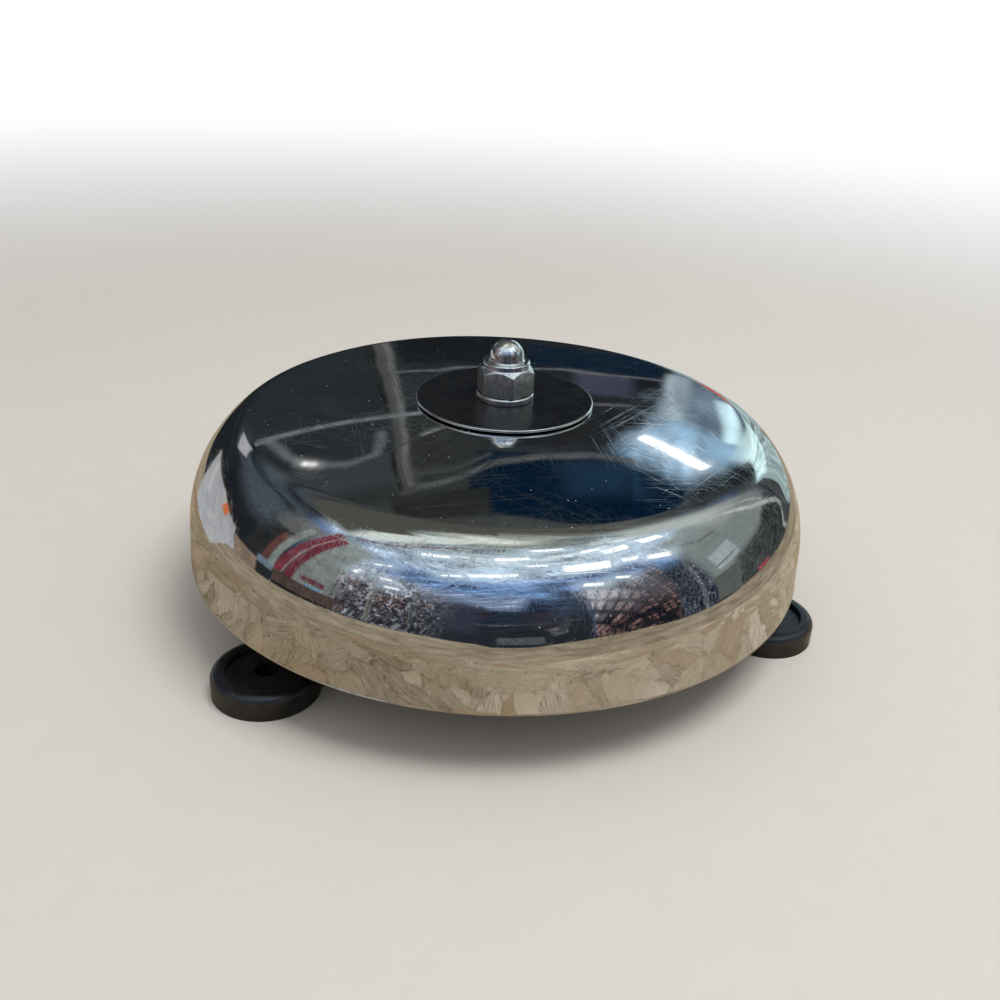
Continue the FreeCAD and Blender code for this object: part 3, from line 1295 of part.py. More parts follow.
def make_terminal_block():
    """The two-pole terminal block and its clamping screws."""
    poles = ["board_middle_x - terminal_pitch / 2", "board_middle_x + terminal_pitch / 2"]
    middle_y = "terminal_front_y + terminal_depth / 2"
    body = new_body("terminal_block", "board_top_z")
    block = new_sketch(body, "block")
    half = "terminal_length / 2"
    rectangle(block, f"board_middle_x - {half}", "terminal_front_y", f"board_middle_x + {half}", "terminal_front_y + terminal_depth")
    pad(body, block, "terminal_height")
    wires = new_sketch(body, "wire_holes", "XZ", "0 - terminal_front_y")
    circles(wires, *[(x, "terminal_height / 3", "terminal_hole_radius") for x in poles])
    pocket(body, wires, "terminal_hole_depth")
    tops = new_sketch(body, "screw_holes", offset="terminal_height")
    circles(tops, *[(x, middle_y, "terminal_screw_radius + thread_clearance") for x in poles])
    pocket(body, tops, "terminal_screw_depth")
    screws = []
    for k, x in enumerate(poles):
        screw = doc.addObject("Part::Cylinder", f"terminal_screw_{k}")
        bind(screw, "Radius", "terminal_screw_radius")
        bind(screw, "Height", "terminal_screw_depth - terminal_screw_sink")
        bind(screw, ".Placement.Base.x", x)
        bind(screw, ".Placement.Base.y", middle_y)
        bind(screw, ".Placement.Base.z", "terminal_top_z - terminal_screw_depth")
        screws.append(screw)
    group = doc.addObject("Part::Compound", "terminal_screws")
    group.Label = "terminal_screws"
    group.Links = screws
    made.append(group)


def rod_piece(name, radius, length, x, y, z, lying=None):
    """A Part cylinder that starts at (x, y, z) and stands up, or lies along X or Y."""
    turns = {
        None: FreeCAD.Rotation(),
        "X": FreeCAD.Rotation(FreeCAD.Vector(0, 1, 0), 90),
        "Y": FreeCAD.Rotation(FreeCAD.Vector(1, 0, 0), -90),
    }
    rod = doc.addObject("Part::Cylinder", name)
    rod.Placement.Rotation = turns[lying]
    bind(rod, "Radius", radius)
    bind(rod, "Height", length)
    for axis, place in zip("xyz", (x, y, z)):
        bind(rod, f".Placement.Base.{axis}", place)
    return rod


def fused(label, pieces):
    """One node fused from Part primitives."""
    whole = doc.addObject("Part::MultiFuse", label)
    whole.Label = label
    whole.Shapes = pieces
    doc.recompute()
    made.append(whole)
    return whole


def make_rectifier_diode():
    """The diode, lying along X above the board, with its leads bent down to it."""
    axis = "board_top_z + diode_stand"
    half = "diode_length / 2"
    reach = f"({half} + diode_lead_reach)"
    leg_top = "diode_stand + diode_leg_radius"
    pieces = [
        rod_piece("diode_body", "diode_radius", "diode_length", f"board_middle_x - {half}", "diode_offset", axis, "X"),
        rod_piece("diode_wire", "diode_lead_radius", f"2 * {reach}", f"board_middle_x - {reach}", "diode_offset", axis, "X"),
    ]
    for name, side in (("rear", "-"), ("front", "+")):
        place = f"board_middle_x {side} {reach}"
        leg = rod_piece(f"diode_{name}_leg", "diode_leg_radius", leg_top, place, "diode_offset", "board_top_z")
        pieces.append(leg)
    fused("rectifier_diode", pieces)


def make_surge_varistor():
    """The disc varistor, standing on its two leads."""
    centre = "board_top_z + varistor_stand + varistor_radius"
    near = "varistor_offset - varistor_thickness / 2"
    pieces = [rod_piece("varistor_disc", "varistor_radius", "varistor_thickness", "board_middle_x", near, centre, "Y")]
    for name, side in (("rear", "-"), ("front", "+")):
        place = f"board_middle_x {side} varistor_lead_pitch / 2"
        length = "varistor_stand + varistor_radius"
        pieces.append(rod_piece(f"varistor_{name}_leg", "varistor_lead_radius", length, place, "varistor_offset", "board_top_z"))
    fused("surge_varistor", pieces)


def tube_along(points, radius):
    """A tube along straight runs joined by tangent arcs, from its centreline's corners.

    Each arc's radius is 0.45 of its shorter run over the tangent of half the turn.
    """
    edges, start = [], points[0]
    for before, corner, after in zip(points, points[1:], points[2:]):
        into, out = (corner - before).normalize(), (after - corner).normalize()
        half_turn = into.getAngle(out) / 2
        cut = 0.45 * min((corner - before).Length, (after - corner).Length)
        bend = cut / math.tan(half_turn)
        first, last = corner - into * cut, corner + out * cut
        inward = (out - into).normalize()
        centre = corner + inward * (bend / math.cos(half_turn))
        middle = centre - inward * bend
        edges.append(Part.LineSegment(start, first).toShape())
        edges.append(Part.Arc(first, middle, last).toShape())
        start = last
    edges.append(Part.LineSegment(start, points[-1]).toShape())
    spine = Part.Wire(edges)
    section = Part.Wire(Part.Circle(points[0], points[1] - points[0], radius).toShape())
    tube = spine.makePipeShell([section], True, False)
    expected = math.pi * radius**2 * spine.Length
    if abs(tube.Volume / expected - 1) > 0.01:
        raise ValueError(f"tube volume {tube.Volume:.2f}, expected {expected:.2f}")
    return tube


def make_coil_leads():
    """The two sleeved coil leads, from the board round the pillar to the coil's side."""
    for k, label in enumerate(("coil_lead_start", "coil_lead_finish")):
        height = f"board_top_z + lead_rise + {k} * lead_spacing"
        corners = [
            ("board_near_x - lead_edge", f"lead_start - {k} * lead_start_pitch", "board_top_z"),
            ("board_near_x - lead_edge", f"lead_start - {k} * lead_start_pitch", height),
            ("0 - pillar_radius / 2", "lead_pass", height),
            ("yoke_rear_x - yoke_thickness", "lead_swing", f"{height} + 1"),
            ("coil_rear_x + 2 * yoke_thickness", "lead_swing", f"{height} + 2"),
            ("yoke_middle_x - yoke_thickness", "tape_inner + tape_thickness + lead_radius", f"{height} + 2.5"),
        ]
        points = [FreeCAD.Vector(*[number(text) for text in corner]) for corner in corners]
        lead = doc.addObject("Part::Feature", label)
        lead.Label = label
        lead.Shape = tube_along(points, number("lead_radius"))
        made.append(lead)


def make_electrics():
    """The board with its parts, and the leads to the coil."""
    make_circuit_board()
    screw_group("board_screws", BOARD_SCREWS, "board_screw_radius", "board_screw_grip", "board_top_z", "board_thickness")
    make_terminal_block()
    make_rectifier_diode()
    make_surge_varistor()
    make_coil_leads()


# ---------------------------------------------------------------- build, check and export

make_drum()
make_gong_stack()
make_yoke()
make_yoke_strap()
screw_group("yoke_screws", TAB_SCREWS, "yoke_screw_radius", "yoke_screw_grip", "yoke_top_z", "yoke_thickness")
make_coil()
make_striker()
make_gland()
make_electrics()
doc.recompute()

for thing in doc.Objects:
    if "Invalid" in thing.State or "Error" in thing.State:
        raise RuntimeError(f"{thing.Label} failed: {thing.State}")
for piece in made:
    if piece.Shape.isNull() or not piece.Shape.isValid() or not piece.Shape.Solids:
        raise RuntimeError(f"{piece.Label} has no valid solid")

os.makedirs("parts", exist_ok=True)
for piece in made:
    piece.Shape.exportStep(f"parts/{piece.Label}.step")
print(f"{len(made)} nodes, {sum(len(piece.Shape.Solids) for piece in made)} solids")
print(f"fixing hole circle {2 * number('pad_circle'):.2f} mm, rim {number('rim_z'):.3f} mm up")
print(f"bell height {number('nut_z + nut_collar_height + nut_dome_rise + nut_dome_radius'):.2f} mm")
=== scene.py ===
# %% [markdown]
# # Dressing an alarm bell
# The bell lies on its back. A polished steel gong hangs like a hat over a sealed black drum, held
# by one bolt through both, with a domed nut on top. The frame brings every solid in its place,
# so this lesson only gives the pieces finer surfaces and real finishes. It starts with the frame,
# because each new piece takes its place from it.

# %% Load the frame
import math

import bmesh
import bpy
import numpy as np
from mathutils import Matrix, Vector


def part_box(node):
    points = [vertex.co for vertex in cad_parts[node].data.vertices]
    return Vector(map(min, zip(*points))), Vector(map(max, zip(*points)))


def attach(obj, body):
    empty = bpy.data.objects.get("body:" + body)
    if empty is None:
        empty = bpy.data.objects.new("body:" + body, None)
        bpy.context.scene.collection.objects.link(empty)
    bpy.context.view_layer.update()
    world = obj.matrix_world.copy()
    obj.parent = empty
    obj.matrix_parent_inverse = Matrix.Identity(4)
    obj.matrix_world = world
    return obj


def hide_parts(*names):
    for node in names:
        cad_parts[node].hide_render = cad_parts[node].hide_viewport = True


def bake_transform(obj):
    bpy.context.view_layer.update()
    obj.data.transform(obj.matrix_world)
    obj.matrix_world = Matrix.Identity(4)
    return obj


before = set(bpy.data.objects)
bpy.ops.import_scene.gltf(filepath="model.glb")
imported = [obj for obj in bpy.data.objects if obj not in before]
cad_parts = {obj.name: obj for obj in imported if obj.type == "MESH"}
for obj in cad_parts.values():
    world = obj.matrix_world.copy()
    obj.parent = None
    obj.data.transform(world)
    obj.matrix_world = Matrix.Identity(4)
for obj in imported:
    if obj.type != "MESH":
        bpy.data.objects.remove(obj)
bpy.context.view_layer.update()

# %% [markdown]
# ## Lengths
# Machine drawings use millimetres and Blender uses metres. Each length below is in millimetres,
# and a mesh turns them into metres once, when it is made. The helper reads where a solid begins
# and ends, so that a new piece fits the solid that it stands for.

# %% Millimetres and places
MM = 0.001
TURN = 2 * math.pi


def span(node, axis):
    """Lowest and highest place of a solid along X, Y or Z."""
    low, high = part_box(node)
    k = "XYZ".index(axis)
    return low[k] / MM, high[k] / MM


RIM_Z = span("gong", "Z")[0]
SEAT_Z, DISC_TOP_Z = span("crown_disc", "Z")
NUT_Z = span("nut_washer", "Z")[1]
BELLOWS_X = span("striker_bellows", "X")
STRIKER_Z = sum(span("push_rod", "Z")) / 2
GLAND_Z = sum(span("gland_seal", "Z")) / 2
print(f"rim {RIM_Z:.2f}, crown {SEAT_Z:.2f}, nut {NUT_Z:.2f}, striker {STRIKER_Z:.2f} mm up")

# %% [markdown]
# ## Outlines
# Most pieces of a bell are turned, so each starts as half a cross section. A real edge is never
# perfectly sharp: a thin arc at each corner catches the light. A Bevel modifier could cut those
# arcs, but in the outline each corner can have a rounding of its own. The first helper rounds
# the corners, and the second adds points to the long sides, which a hexagon needs.


# %% Rounded outlines
def outline(*corners, closed=True, steps=6):
    """Points (radius, height) along corners (radius, height, rounding).

    A corner gives way to an arc that touches both of its sides. The arc starts rounding over
    the tangent of half the corner's angle away, and its spokes turn evenly from one side to the
    other. A guard point beyond each end of the arc keeps the flat sides flat in smooth shading.
    """
    rows = np.array([(*corner, 0.0)[:3] for corner in corners], float)
    share = np.linspace(0, 1, steps + 1)[:, None]
    points = []
    for k, (place, rounding) in enumerate(zip(rows[:, :2], rows[:, 2])):
        if rounding == 0 or (not closed and k in (0, len(rows) - 1)):
            points.append(place[None])
            continue
        back = rows[k - 1, :2] - place
        ahead = rows[(k + 1) % len(rows), :2] - place
        back, ahead = back / np.hypot(*back), ahead / np.hypot(*ahead)
        half = math.acos(np.clip(back @ ahead, -1, 1)) / 2
        reach = rounding / math.tan(half)
        centre = place + (back + ahead) / np.hypot(*(back + ahead)) * rounding / math.sin(half)
        first, last = place + back * reach - centre, place + ahead * reach - centre
        sweep = math.pi - 2 * half
        spokes = np.sin((1 - share) * sweep) * first + np.sin(share * sweep) * last
        arc = centre + spokes / math.sin(sweep)
        guard = rounding * 0.2
        points += [arc[:1] + back * guard, arc, arc[-1:] + ahead * guard]
    return np.concatenate(points)


def divided(points, step, closed=True):
    """The same outline, with each side cut into equal parts no longer than step."""
    ends = np.roll(points, -1, axis=0) if closed else points[1:]
    cuts = []
    for start, end in zip(points, ends):
        parts = max(1, math.ceil(np.hypot(*(end - start)) / step))
        share = np.arange(parts)[:, None] / parts
        cuts.append(start + (end - start) * share)
    return np.concatenate(cuts if closed else cuts + [points[-1:]])


washer_try = outline((4, 0, 0.2), (8, 0, 0.2), (8, 1, 0.2), (4, 1, 0.2))
print(f"a washer's outline has {len(washer_try)} points")

# %% [markdown]
# ## Surfaces of two parameters
# A turned surface needs one angle and one place along the outline. The Screw modifier could turn
# it, but two whole arrays of numbers give every point at once and can do more: a hexagon bar
# that is turned to a chamfer is the smaller of two radii, the flat side's and the chamfer's,
# where a Boolean would leave long thin faces.


# %% Turned and hexagonal surfaces
AXES = {"Z": (0, 1, 2), "X": (1, 2, 0), "Y": (2, 0, 1)}


def around(radius, height, angle, along, centre):
    """Grid of points: radius cos t and radius sin t across the axis, height along it."""
    cross = (radius * np.cos(angle), radius * np.sin(angle), np.broadcast_to(height, radius.shape))
    grid = np.empty((*radius.shape, 3))
    for part, axis in zip(cross, AXES[along]):
        grid[..., axis] = part
    return grid + np.array(centre, float)


def turned(points, count=96, along="Z", centre=(0, 0, 0)):
    """The outline carried round an axis at count even angles t."""
    angle = np.arange(count)[:, None] * TURN / count
    radius = np.broadcast_to(points[:, 0], (count, len(points)))
    return around(radius, points[:, 1], angle, along, centre)


def hexagonal(
    points, flats, soft=0.1, count=240, along="Z", centre=(0, 0, 0), inside=0.0, turn=0
):
    """The outline carried round, but never outside a hexagon of that width across flats.

    A flat side lies flats / 2 over the cosine of the angle from its middle away from the axis.
    The radius is half of (outline + side - root of (their difference squared + soft squared)),
    which is the smaller of the two with a soft change. Points with a radius up to inside stay.
    The middle of one side is at turn degrees.
    """
    angle = np.arange(count)[:, None] * TURN / count
    from_middle = (angle - math.radians(turn) + TURN / 12) % (TURN / 6) - TURN / 12
    side = flats / 2 / np.cos(from_middle)
    radius = points[:, 0][None, :]
    smaller = (radius + side - np.sqrt((radius - side) ** 2 + soft**2)) / 2
    keep = np.broadcast_to(radius, smaller.shape)
    return around(np.where(keep <= inside, keep, smaller), points[:, 1], angle, along, centre)


corner_try = hexagonal(np.array([[10.0, 0.0]]), 13.0)
print(f"a hexagon 13 mm across flats reaches {corner_try.max():.2f} mm at its corners")

# %% [markdown]
# ## From arrays to a piece
# A grid becomes a mesh when each cell names its four corners. Where a row of points has shrunk
# to one point on the axis, the doubles are merged and the cells there become triangles. A piece
# then rides on its body, stands for its solid and takes the finish that it is given.


# %% Make a piece
def mesh_of(name, grids):
    """One mesh from grids that wrap round in their first direction.

    A grid paired with True wraps round in its second direction too; with False it ends in poles.
    """
    points, cells, first = [], [], 0
    for grid, closed in grids:
        rows, columns = grid.shape[:2]
        number = first + np.arange(rows * columns).reshape(rows, columns)
        if closed:
            number = np.concatenate([number, number[:, :1]], axis=1)
        beside = np.roll(number, -1, axis=0)
        corners = (number[:, :-1], beside[:, :-1], beside[:, 1:], number[:, 1:])
        cells.append(np.stack(corners, axis=-1).reshape(-1, 4))
        points.append(grid.reshape(-1, 3))
        first += rows * columns
    mesh = bpy.data.meshes.new(name)
    mesh.from_pydata((np.concatenate(points) * MM).tolist(), [], np.concatenate(cells).tolist())
    work = bmesh.new()
    work.from_mesh(mesh)
    bmesh.ops.remove_doubles(work, verts=work.verts, dist=0.002 * MM)
    bmesh.ops.recalc_face_normals(work, faces=work.faces)
    work.to_mesh(mesh)
    work.free()
    mesh.shade_smooth()
    return mesh


def piece(name, grids, node, finish, body="bell"):
    """A finished piece that stands for a solid, with the finish that it is given."""
    made = bpy.data.objects.new(name, mesh_of(name, grids))
    bpy.context.scene.collection.objects.link(made)
    made.data.materials.append(finish)
    if body:
        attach(made, body)
    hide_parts(node)
    print(f"{name}: {len(made.data.polygons)} faces")
    return made


# %% [markdown]
# ## Sums on sockets
# A finish is arithmetic on patterns: a haze plus some scratches, less where it is clean. In the
# Shader Editor that is a Math node for each sign. The small class wraps a socket so that
# Python's own signs add those nodes, and the sum can be read as a sum.


# %% Values with signs
class Value:
    """A number that varies over a surface. Signs between values add Math nodes."""

    def __init__(self, tree, socket):
        self.tree, self.socket = tree, socket

    def sum(self, operation, *terms):
        """One Math node on up to three terms."""
        node = self.tree.nodes.new("ShaderNodeMath")
        node.operation = operation
        for socket, term in zip(node.inputs, terms):
            plug(self.tree, term, socket)
        return Value(self.tree, node.outputs[0])

    def __add__(self, other):
        return self.sum("ADD", self, other)

    def __sub__(self, other):
        return self.sum("SUBTRACT", self, other)

    def __mul__(self, other):
        return self.sum("MULTIPLY", self, other)

    def __rsub__(self, other):
        return self.sum("SUBTRACT", other, self)

    __radd__, __rmul__ = __add__, __mul__


def plug(tree, item, socket):
    """Links a value to a socket, or sets the socket to a plain number, colour or vector."""
    if isinstance(item, Value):
        tree.links.new(item.socket, socket)
    else:
        socket.default_value = item


print("signs that add nodes:", [name for name in vars(Value) if name.startswith("__r")])

# %% [markdown]
# A finish is then one shader whose sockets take such values, and every other node comes from one
# method that takes its type, its settings and its inputs. The plain colour and roughness are
# given first, for viewers that show no patterns. Places are in millimetres on the piece, so
# a scratch keeps its size whatever it is scratched into.


# %% One shader and its nodes
class Nodes:
    """A material on one shader, with the place of each point in millimetres."""

    def __init__(self, name, colour, roughness, metallic=0.0, **fixed):
        self.material = bpy.data.materials.new(name)
        self.material.use_nodes = True
        self.tree = self.material.node_tree
        self.shader = self.tree.nodes["Principled BSDF"]
        self.set("Base Color", (*colour, 1.0))
        self.set("Roughness", roughness)
        self.set("Metallic", metallic)
        for socket, value in fixed.items():
            self.set(socket.replace("_", " "), value)
        metres = self.node("ShaderNodeTexCoord", output="Object")
        scaled = {0: metres, "Scale": 1 / MM}
        self.place = self.node("ShaderNodeVectorMath", scaled, operation="SCALE")
        parts = {"Vector": self.place}
        self.x, self.y, self.z = (
            self.node("ShaderNodeSeparateXYZ", parts, output=axis) for axis in "XYZ"
        )

    def set(self, socket, item):
        """Gives one of the shader's sockets a number, a colour or a value."""
        plug(self.tree, item, self.shader.inputs[socket])

    def node(self, kind, inputs=None, output=0, stops=None, **settings):
        """Any node: its settings first, then its inputs by name or number. Returns one output."""
        made = self.tree.nodes.new(kind)
        for name, value in settings.items():
            setattr(made, name, value)
        if stops:
            ramp = made.color_ramp.elements
            while len(ramp) < len(stops):
                ramp.new(1.0)
            for stop, (where, colour) in zip(ramp, stops):
                stop.position, stop.color = where, (*colour, 1.0)
        for socket, item in (inputs or {}).items():
            plug(self.tree, item, made.inputs[socket])
        return Value(self.tree, made.outputs[output])

    def vector(self, x, y, z):
        """A place from three numbers or values."""
        return self.node("ShaderNodeCombineXYZ", {"X": x, "Y": y, "Z": z})


print("every material can:", [name for name in vars(Nodes) if name[0] != "_"])

# %% [markdown]
# Patterns come next. Noise makes clouds, noise that is squeezed one way and stretched another
# makes streaks, and Voronoi cells make specks. A smooth step turns any of them into patches.


# %% Patterns and finishes
class Finish(Nodes):
    """A material that is built up from patterns."""

    def noise(self, per_mm, detail=3.0, rough=0.5, place=None, bend=0.0):
        """Cloudy noise between 0 and 1, with about per_mm spots to the millimetre."""
        inputs = {
            "Vector": place or self.place,
            "Scale": per_mm,
            "Detail": detail,
            "Roughness": rough,
            "Distortion": bend,
        }
        return self.node("ShaderNodeTexNoise", inputs)

    def streaks(self, x, y, z, detail=3.0, rough=0.5):
        """Noise with that many spots to the millimetre along each axis, numbers or values."""
        return self.noise(1.0, detail, rough, self.vector(x, y, z))

    def cells(self, per_mm, place=None, output=0, **settings):
        """Distance from the middle of the nearest of about per_mm cells to the millimetre."""
        inputs = {"Vector": place or self.place, "Scale": per_mm}
        return self.node("ShaderNodeTexVoronoi", inputs, output, **settings)

    def step(self, value, low, high):
        """0 below low, 1 above high, and a smooth change between them."""
        inputs = {"Value": value, "From Min": low, "From Max": high}
        return self.node("ShaderNodeMapRange", inputs, interpolation_type="SMOOTHSTEP")

    def ring(self, value, middle, width):
        """1 where value is at middle, 0 from width away on both sides."""
        gap = value.sum("ABSOLUTE", value - middle)
        return 1 - self.step(gap, 0.0, width)

    def distance(self, a, b):
        """The root of a squared plus b squared."""
        return a.sum("SQRT", a * a + b * b)

    def mix(self, share, first, second):
        """The first colour, giving way to the second where share is 1."""
        colours = [c if isinstance(c, Value) else (*c, 1.0) for c in (first, second)]
        inputs = {0: share, 6: colours[0], 7: colours[1]}
        return self.node("ShaderNodeMix", inputs, output=2, data_type="RGBA")

    def emboss(self, height, depth):
        """Raises the surface by depth millimetres times height, in shading only."""
        inputs = {"Height": height, "Distance": depth * MM, "Strength": 1.0}
        self.set("Normal", self.node("ShaderNodeBump", inputs))

    def vary(self, pattern, first, second, roughness, more):
        """One pattern takes the colour from first to second and makes the surface rougher."""
        self.set("Base Color", self.mix(pattern, first, second))
        self.set("Roughness", roughness + pattern * more)

    def cover(self, *nodes):
        """Puts the finish on solids that keep their own mesh."""
        for node in nodes:
            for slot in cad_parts[node].material_slots:
                slot.material = self.material
        self.tell("on " + ", ".join(nodes))

    def tell(self, where):
        """Prints how many nodes the finish has and where it goes."""
        print(f"{self.material.name}: {len(self.tree.nodes)} nodes, {where}")


print("every finish can:", [name for name in vars(Finish) if name[0] != "_"])

# %% [markdown]
# ## Polished steel
# The gong is pressed from sheet and buffed to a mirror. Up close the mirror is not clean: buffing
# leaves hair-fine strokes, handling leaves dull patches, and dust settles on the flat crown. A
# picture could be wrapped round it, but it would need seams, and patterns in space need none.
# Most of this changes how sharp the reflection is, so it goes into the roughness. The strokes are
# noise that is squeezed across one direction and stretched along it, four times over, because
# a cloth wipes in every direction. A film of grease and dust also scatters a little light by
# itself, which a slightly lower metallic share gives.

# %% Finish of the gong
steel = Finish("polished_steel", (0.63, 0.63, 0.625), 0.05, metallic=1.0)
hairs = None
for degrees, start in ((14, 3.1), (58, 17.0), (101, 41.0), (149, 77.0)):
    run, cut = math.cos(math.radians(degrees)), math.sin(math.radians(degrees))
    along = steel.x * run + steel.y * cut
    over = steel.y * run - steel.x * cut
    lines = steel.streaks(along * 0.022 + start, over * 3.2, steel.z * 0.25, 2.0, 0.6)
    thin = steel.step(lines, 0.62, 0.7) * steel.step(steel.noise(0.05, 1.0), 0.3, 0.58)
    hairs = thin if hairs is None else hairs + thin
haze = steel.step(steel.noise(0.045, 4.0, 0.6, bend=0.6), 0.46, 0.78)
smear = steel.step(steel.noise(0.022, 5.0, 0.66, bend=1.2), 0.5, 0.74)
dust_here = steel.step(steel.noise(0.12, 2.0, 0.5), 0.42, 0.62)
dust = (1 - steel.step(steel.cells(0.42), 0.04, 0.085)) * dust_here
steel.set("Roughness", 0.02 + haze * 0.025 + smear * 0.03 + hairs * 0.07 + dust * 0.5)
steel.set("Base Color", steel.mix(dust * 0.6, (0.63, 0.63, 0.625), (0.9, 0.9, 0.88)))
steel.set("Metallic", 1 - smear * 0.006 - haze * 0.002 - dust * 0.6)
steel.emboss(hairs, 0.0035)
steel.tell("for the gong")

# %% [markdown]
# ## The gong
# The gong could be a lathe outline with four points and a subdivision, but a mirror shows every
# bump of such a cage. So its outline is made of true arcs that touch: a straight skirt, a wide
# shoulder, a tighter edge and a nearly flat crown. Pressing leaves the sheet slightly wavy, which
# is what makes reflections wobble: a sum of soft waves, a few hundredths of a millimetre high,
# moves each point along the sheet's normal.

# %% Outline of the gong
GONG = {"radius": 80.0, "wall": 2.0, "skirt": 11.0, "lean": math.radians(3.1)}
SHOULDER = {"radius": 31.1, "end": math.radians(49.8)}
EDGE_RADIUS, CROWN_RADIUS, SEAT_RADIUS, HOLE_RADIUS = 10.4, 500.0, 9.0, 6.0


def spoke(angle):
    """The unit step outwards at an angle above the horizontal."""
    return np.stack([np.cos(angle), np.sin(angle)], axis=-1)


def gong_outline(inset, share=1.0):
    """One face of the gong's sheet from rim to seat: arcs about shared centres, less inset."""
    lean, end = GONG["lean"], SHOULDER["end"]
    skirt_top = np.array([GONG["radius"] - GONG["skirt"] * math.tan(lean), GONG["skirt"]])
    shoulder = skirt_top - SHOULDER["radius"] * spoke(lean)
    edge = shoulder + (SHOULDER["radius"] - EDGE_RADIUS) * spoke(end)
    reach = CROWN_RADIUS - EDGE_RADIUS
    crown = np.array([0.0, edge[1] - math.sqrt(reach**2 - edge[0] ** 2)])
    meeting = math.acos(edge[0] / reach)
    seat = math.acos(SEAT_RADIUS / (CROWN_RADIUS - inset))
    foot = np.array([GONG["radius"] - inset / math.cos(lean), 0.0])
    top = shoulder + (SHOULDER["radius"] - inset) * spoke(lean)
    lip = np.array([0.6, 0.9, 1.4, 2.4, 5.0, 8.0])[:, None] / GONG["skirt"]
    arcs = [
        foot + (top - foot) * lip,
        shoulder + (SHOULDER["radius"] - inset) * spoke(np.linspace(lean, end, round(44 * share))),
        edge + (EDGE_RADIUS - inset) * spoke(np.linspace(end, meeting, round(22 * share))[1:]),
        crown + (CROWN_RADIUS - inset) * spoke(np.linspace(meeting, seat, round(40 * share))[1:]),
    ]
    return np.concatenate(arcs)


outside, inside = gong_outline(0.0), gong_outline(GONG["wall"], 0.5)
hole = outline(
    (SEAT_RADIUS, outside[-1, 1]),
    (HOLE_RADIUS, outside[-1, 1], 0.2),
    (HOLE_RADIUS, inside[-1, 1], 0.2),
    (SEAT_RADIUS, inside[-1, 1]),
    closed=False,
)[1:-1]
lip_points = outline(
    (inside[0, 0], 1.0),
    (inside[0, 0], 0.0, 0.55),
    (GONG["radius"], 0.0, 0.55),
    (GONG["radius"], 1.0),
    closed=False,
)[2:-2]
sheet = np.concatenate([outside, hole, inside[::-1], lip_points])
print(f"gong outline: {len(sheet)} points, height {outside[-1, 1]:.2f} mm")

# %% The gong with its waves
rng = np.random.default_rng(7)
WAVE = {"height": 0.055, "rate": 0.16, "count": 26, "fade": 40.0}
GONG_COUNT = 336


def sheet_waves(points, count):
    """Height of the sheet's waves at every angle t and place on the outline.

    Each wave is a sine of (a whole number of turns times t, plus a rate times (height less half
    the radius), plus a start), and is lower the shorter it is. All fade out towards the hole.
    """
    angle = np.arange(count)[:, None] * TURN / count
    total = np.zeros((count, len(points)))
    for turns in rng.integers(3, 17, WAVE["count"]):
        rate, start = rng.uniform(-WAVE["rate"], WAVE["rate"]), rng.uniform(0, TURN)
        run = rate * (points[:, 1] - 0.5 * points[:, 0])
        total += np.sin(turns * angle + run + start) * WAVE["height"] / turns
    return total * np.clip((points[:, 0] - HOLE_RADIUS) / WAVE["fade"], 0, 1)


along_sheet = np.roll(sheet, -1, axis=0) - np.roll(sheet, 1, axis=0)
normal = np.stack([along_sheet[:, 1], -along_sheet[:, 0]], axis=1)
normal /= np.hypot(*normal.T)[:, None]
wave = sheet_waves(sheet, GONG_COUNT)
side = np.where(np.arange(len(sheet)) < len(outside) + len(hole) // 2, 1.0, -1.0)
angles = np.arange(GONG_COUNT)[:, None] * TURN / GONG_COUNT
gong_grid = around(
    sheet[:, 0] + wave * side * normal[:, 0],
    sheet[:, 1] + wave * side * normal[:, 1],
    angles,
    "Z",
    (0, 0, RIM_Z),
)
piece("gong_shell", [(gong_grid, True)], "gong", steel.material)
print(f"waves reach {np.abs(wave).max():.3f} mm")

# %% [markdown]
# ## The crown
# A thin black disc lies on the crown and a washer and a domed nut clamp it. The disc is lacquered
# steel: its cut edge and the thin line where the lacquer stops are bare metal. A second material
# on those faces would end in a hard line, so a step on the distance from the axis does it. The
# lacquer is not quite even, and two layers of soft noise vary how sharply it shines.

# %% The black disc
DISC = {"radius": 22.7, "hole": 4.2, "bare": (22.42, 22.5)}
disc_outline = outline(
    (DISC["hole"], SEAT_Z, 0.05),
    (DISC["radius"], SEAT_Z, 0.08),
    (DISC["radius"], DISC_TOP_Z, 0.25),
    (DISC["hole"], DISC_TOP_Z, 0.05),
)
lacquer = Finish("black_lacquer", (0.006, 0.0065, 0.0075), 0.3)
from_axis = lacquer.distance(lacquer.x, lacquer.y)
bare = lacquer.step(from_axis + (lacquer.noise(0.9) - 0.5) * 0.08, *DISC["bare"])
rubbed = lacquer.step(lacquer.noise(0.16, 3.0, 0.6), 0.4, 0.75)
speckle = lacquer.step(lacquer.noise(2.6, 2.0, 0.6), 0.66, 0.75)
lacquer.set("Roughness", 0.26 + rubbed * 0.1 + speckle * 0.2 - bare * 0.05)
lacquer.set("Metallic", bare)
dusty = lacquer.mix(speckle * 0.3 + rubbed * 0.03, (0.006, 0.0065, 0.0075), (0.12, 0.12, 0.12))
lacquer.set("Base Color", lacquer.mix(bare, dusty, (0.95, 0.95, 0.93)))
lacquer.emboss(lacquer.noise(1.2, 3.0, 0.5), 0.003)
piece("crown_label_disc", [(turned(disc_outline, 192), True)], "crown_disc", lacquer.material)
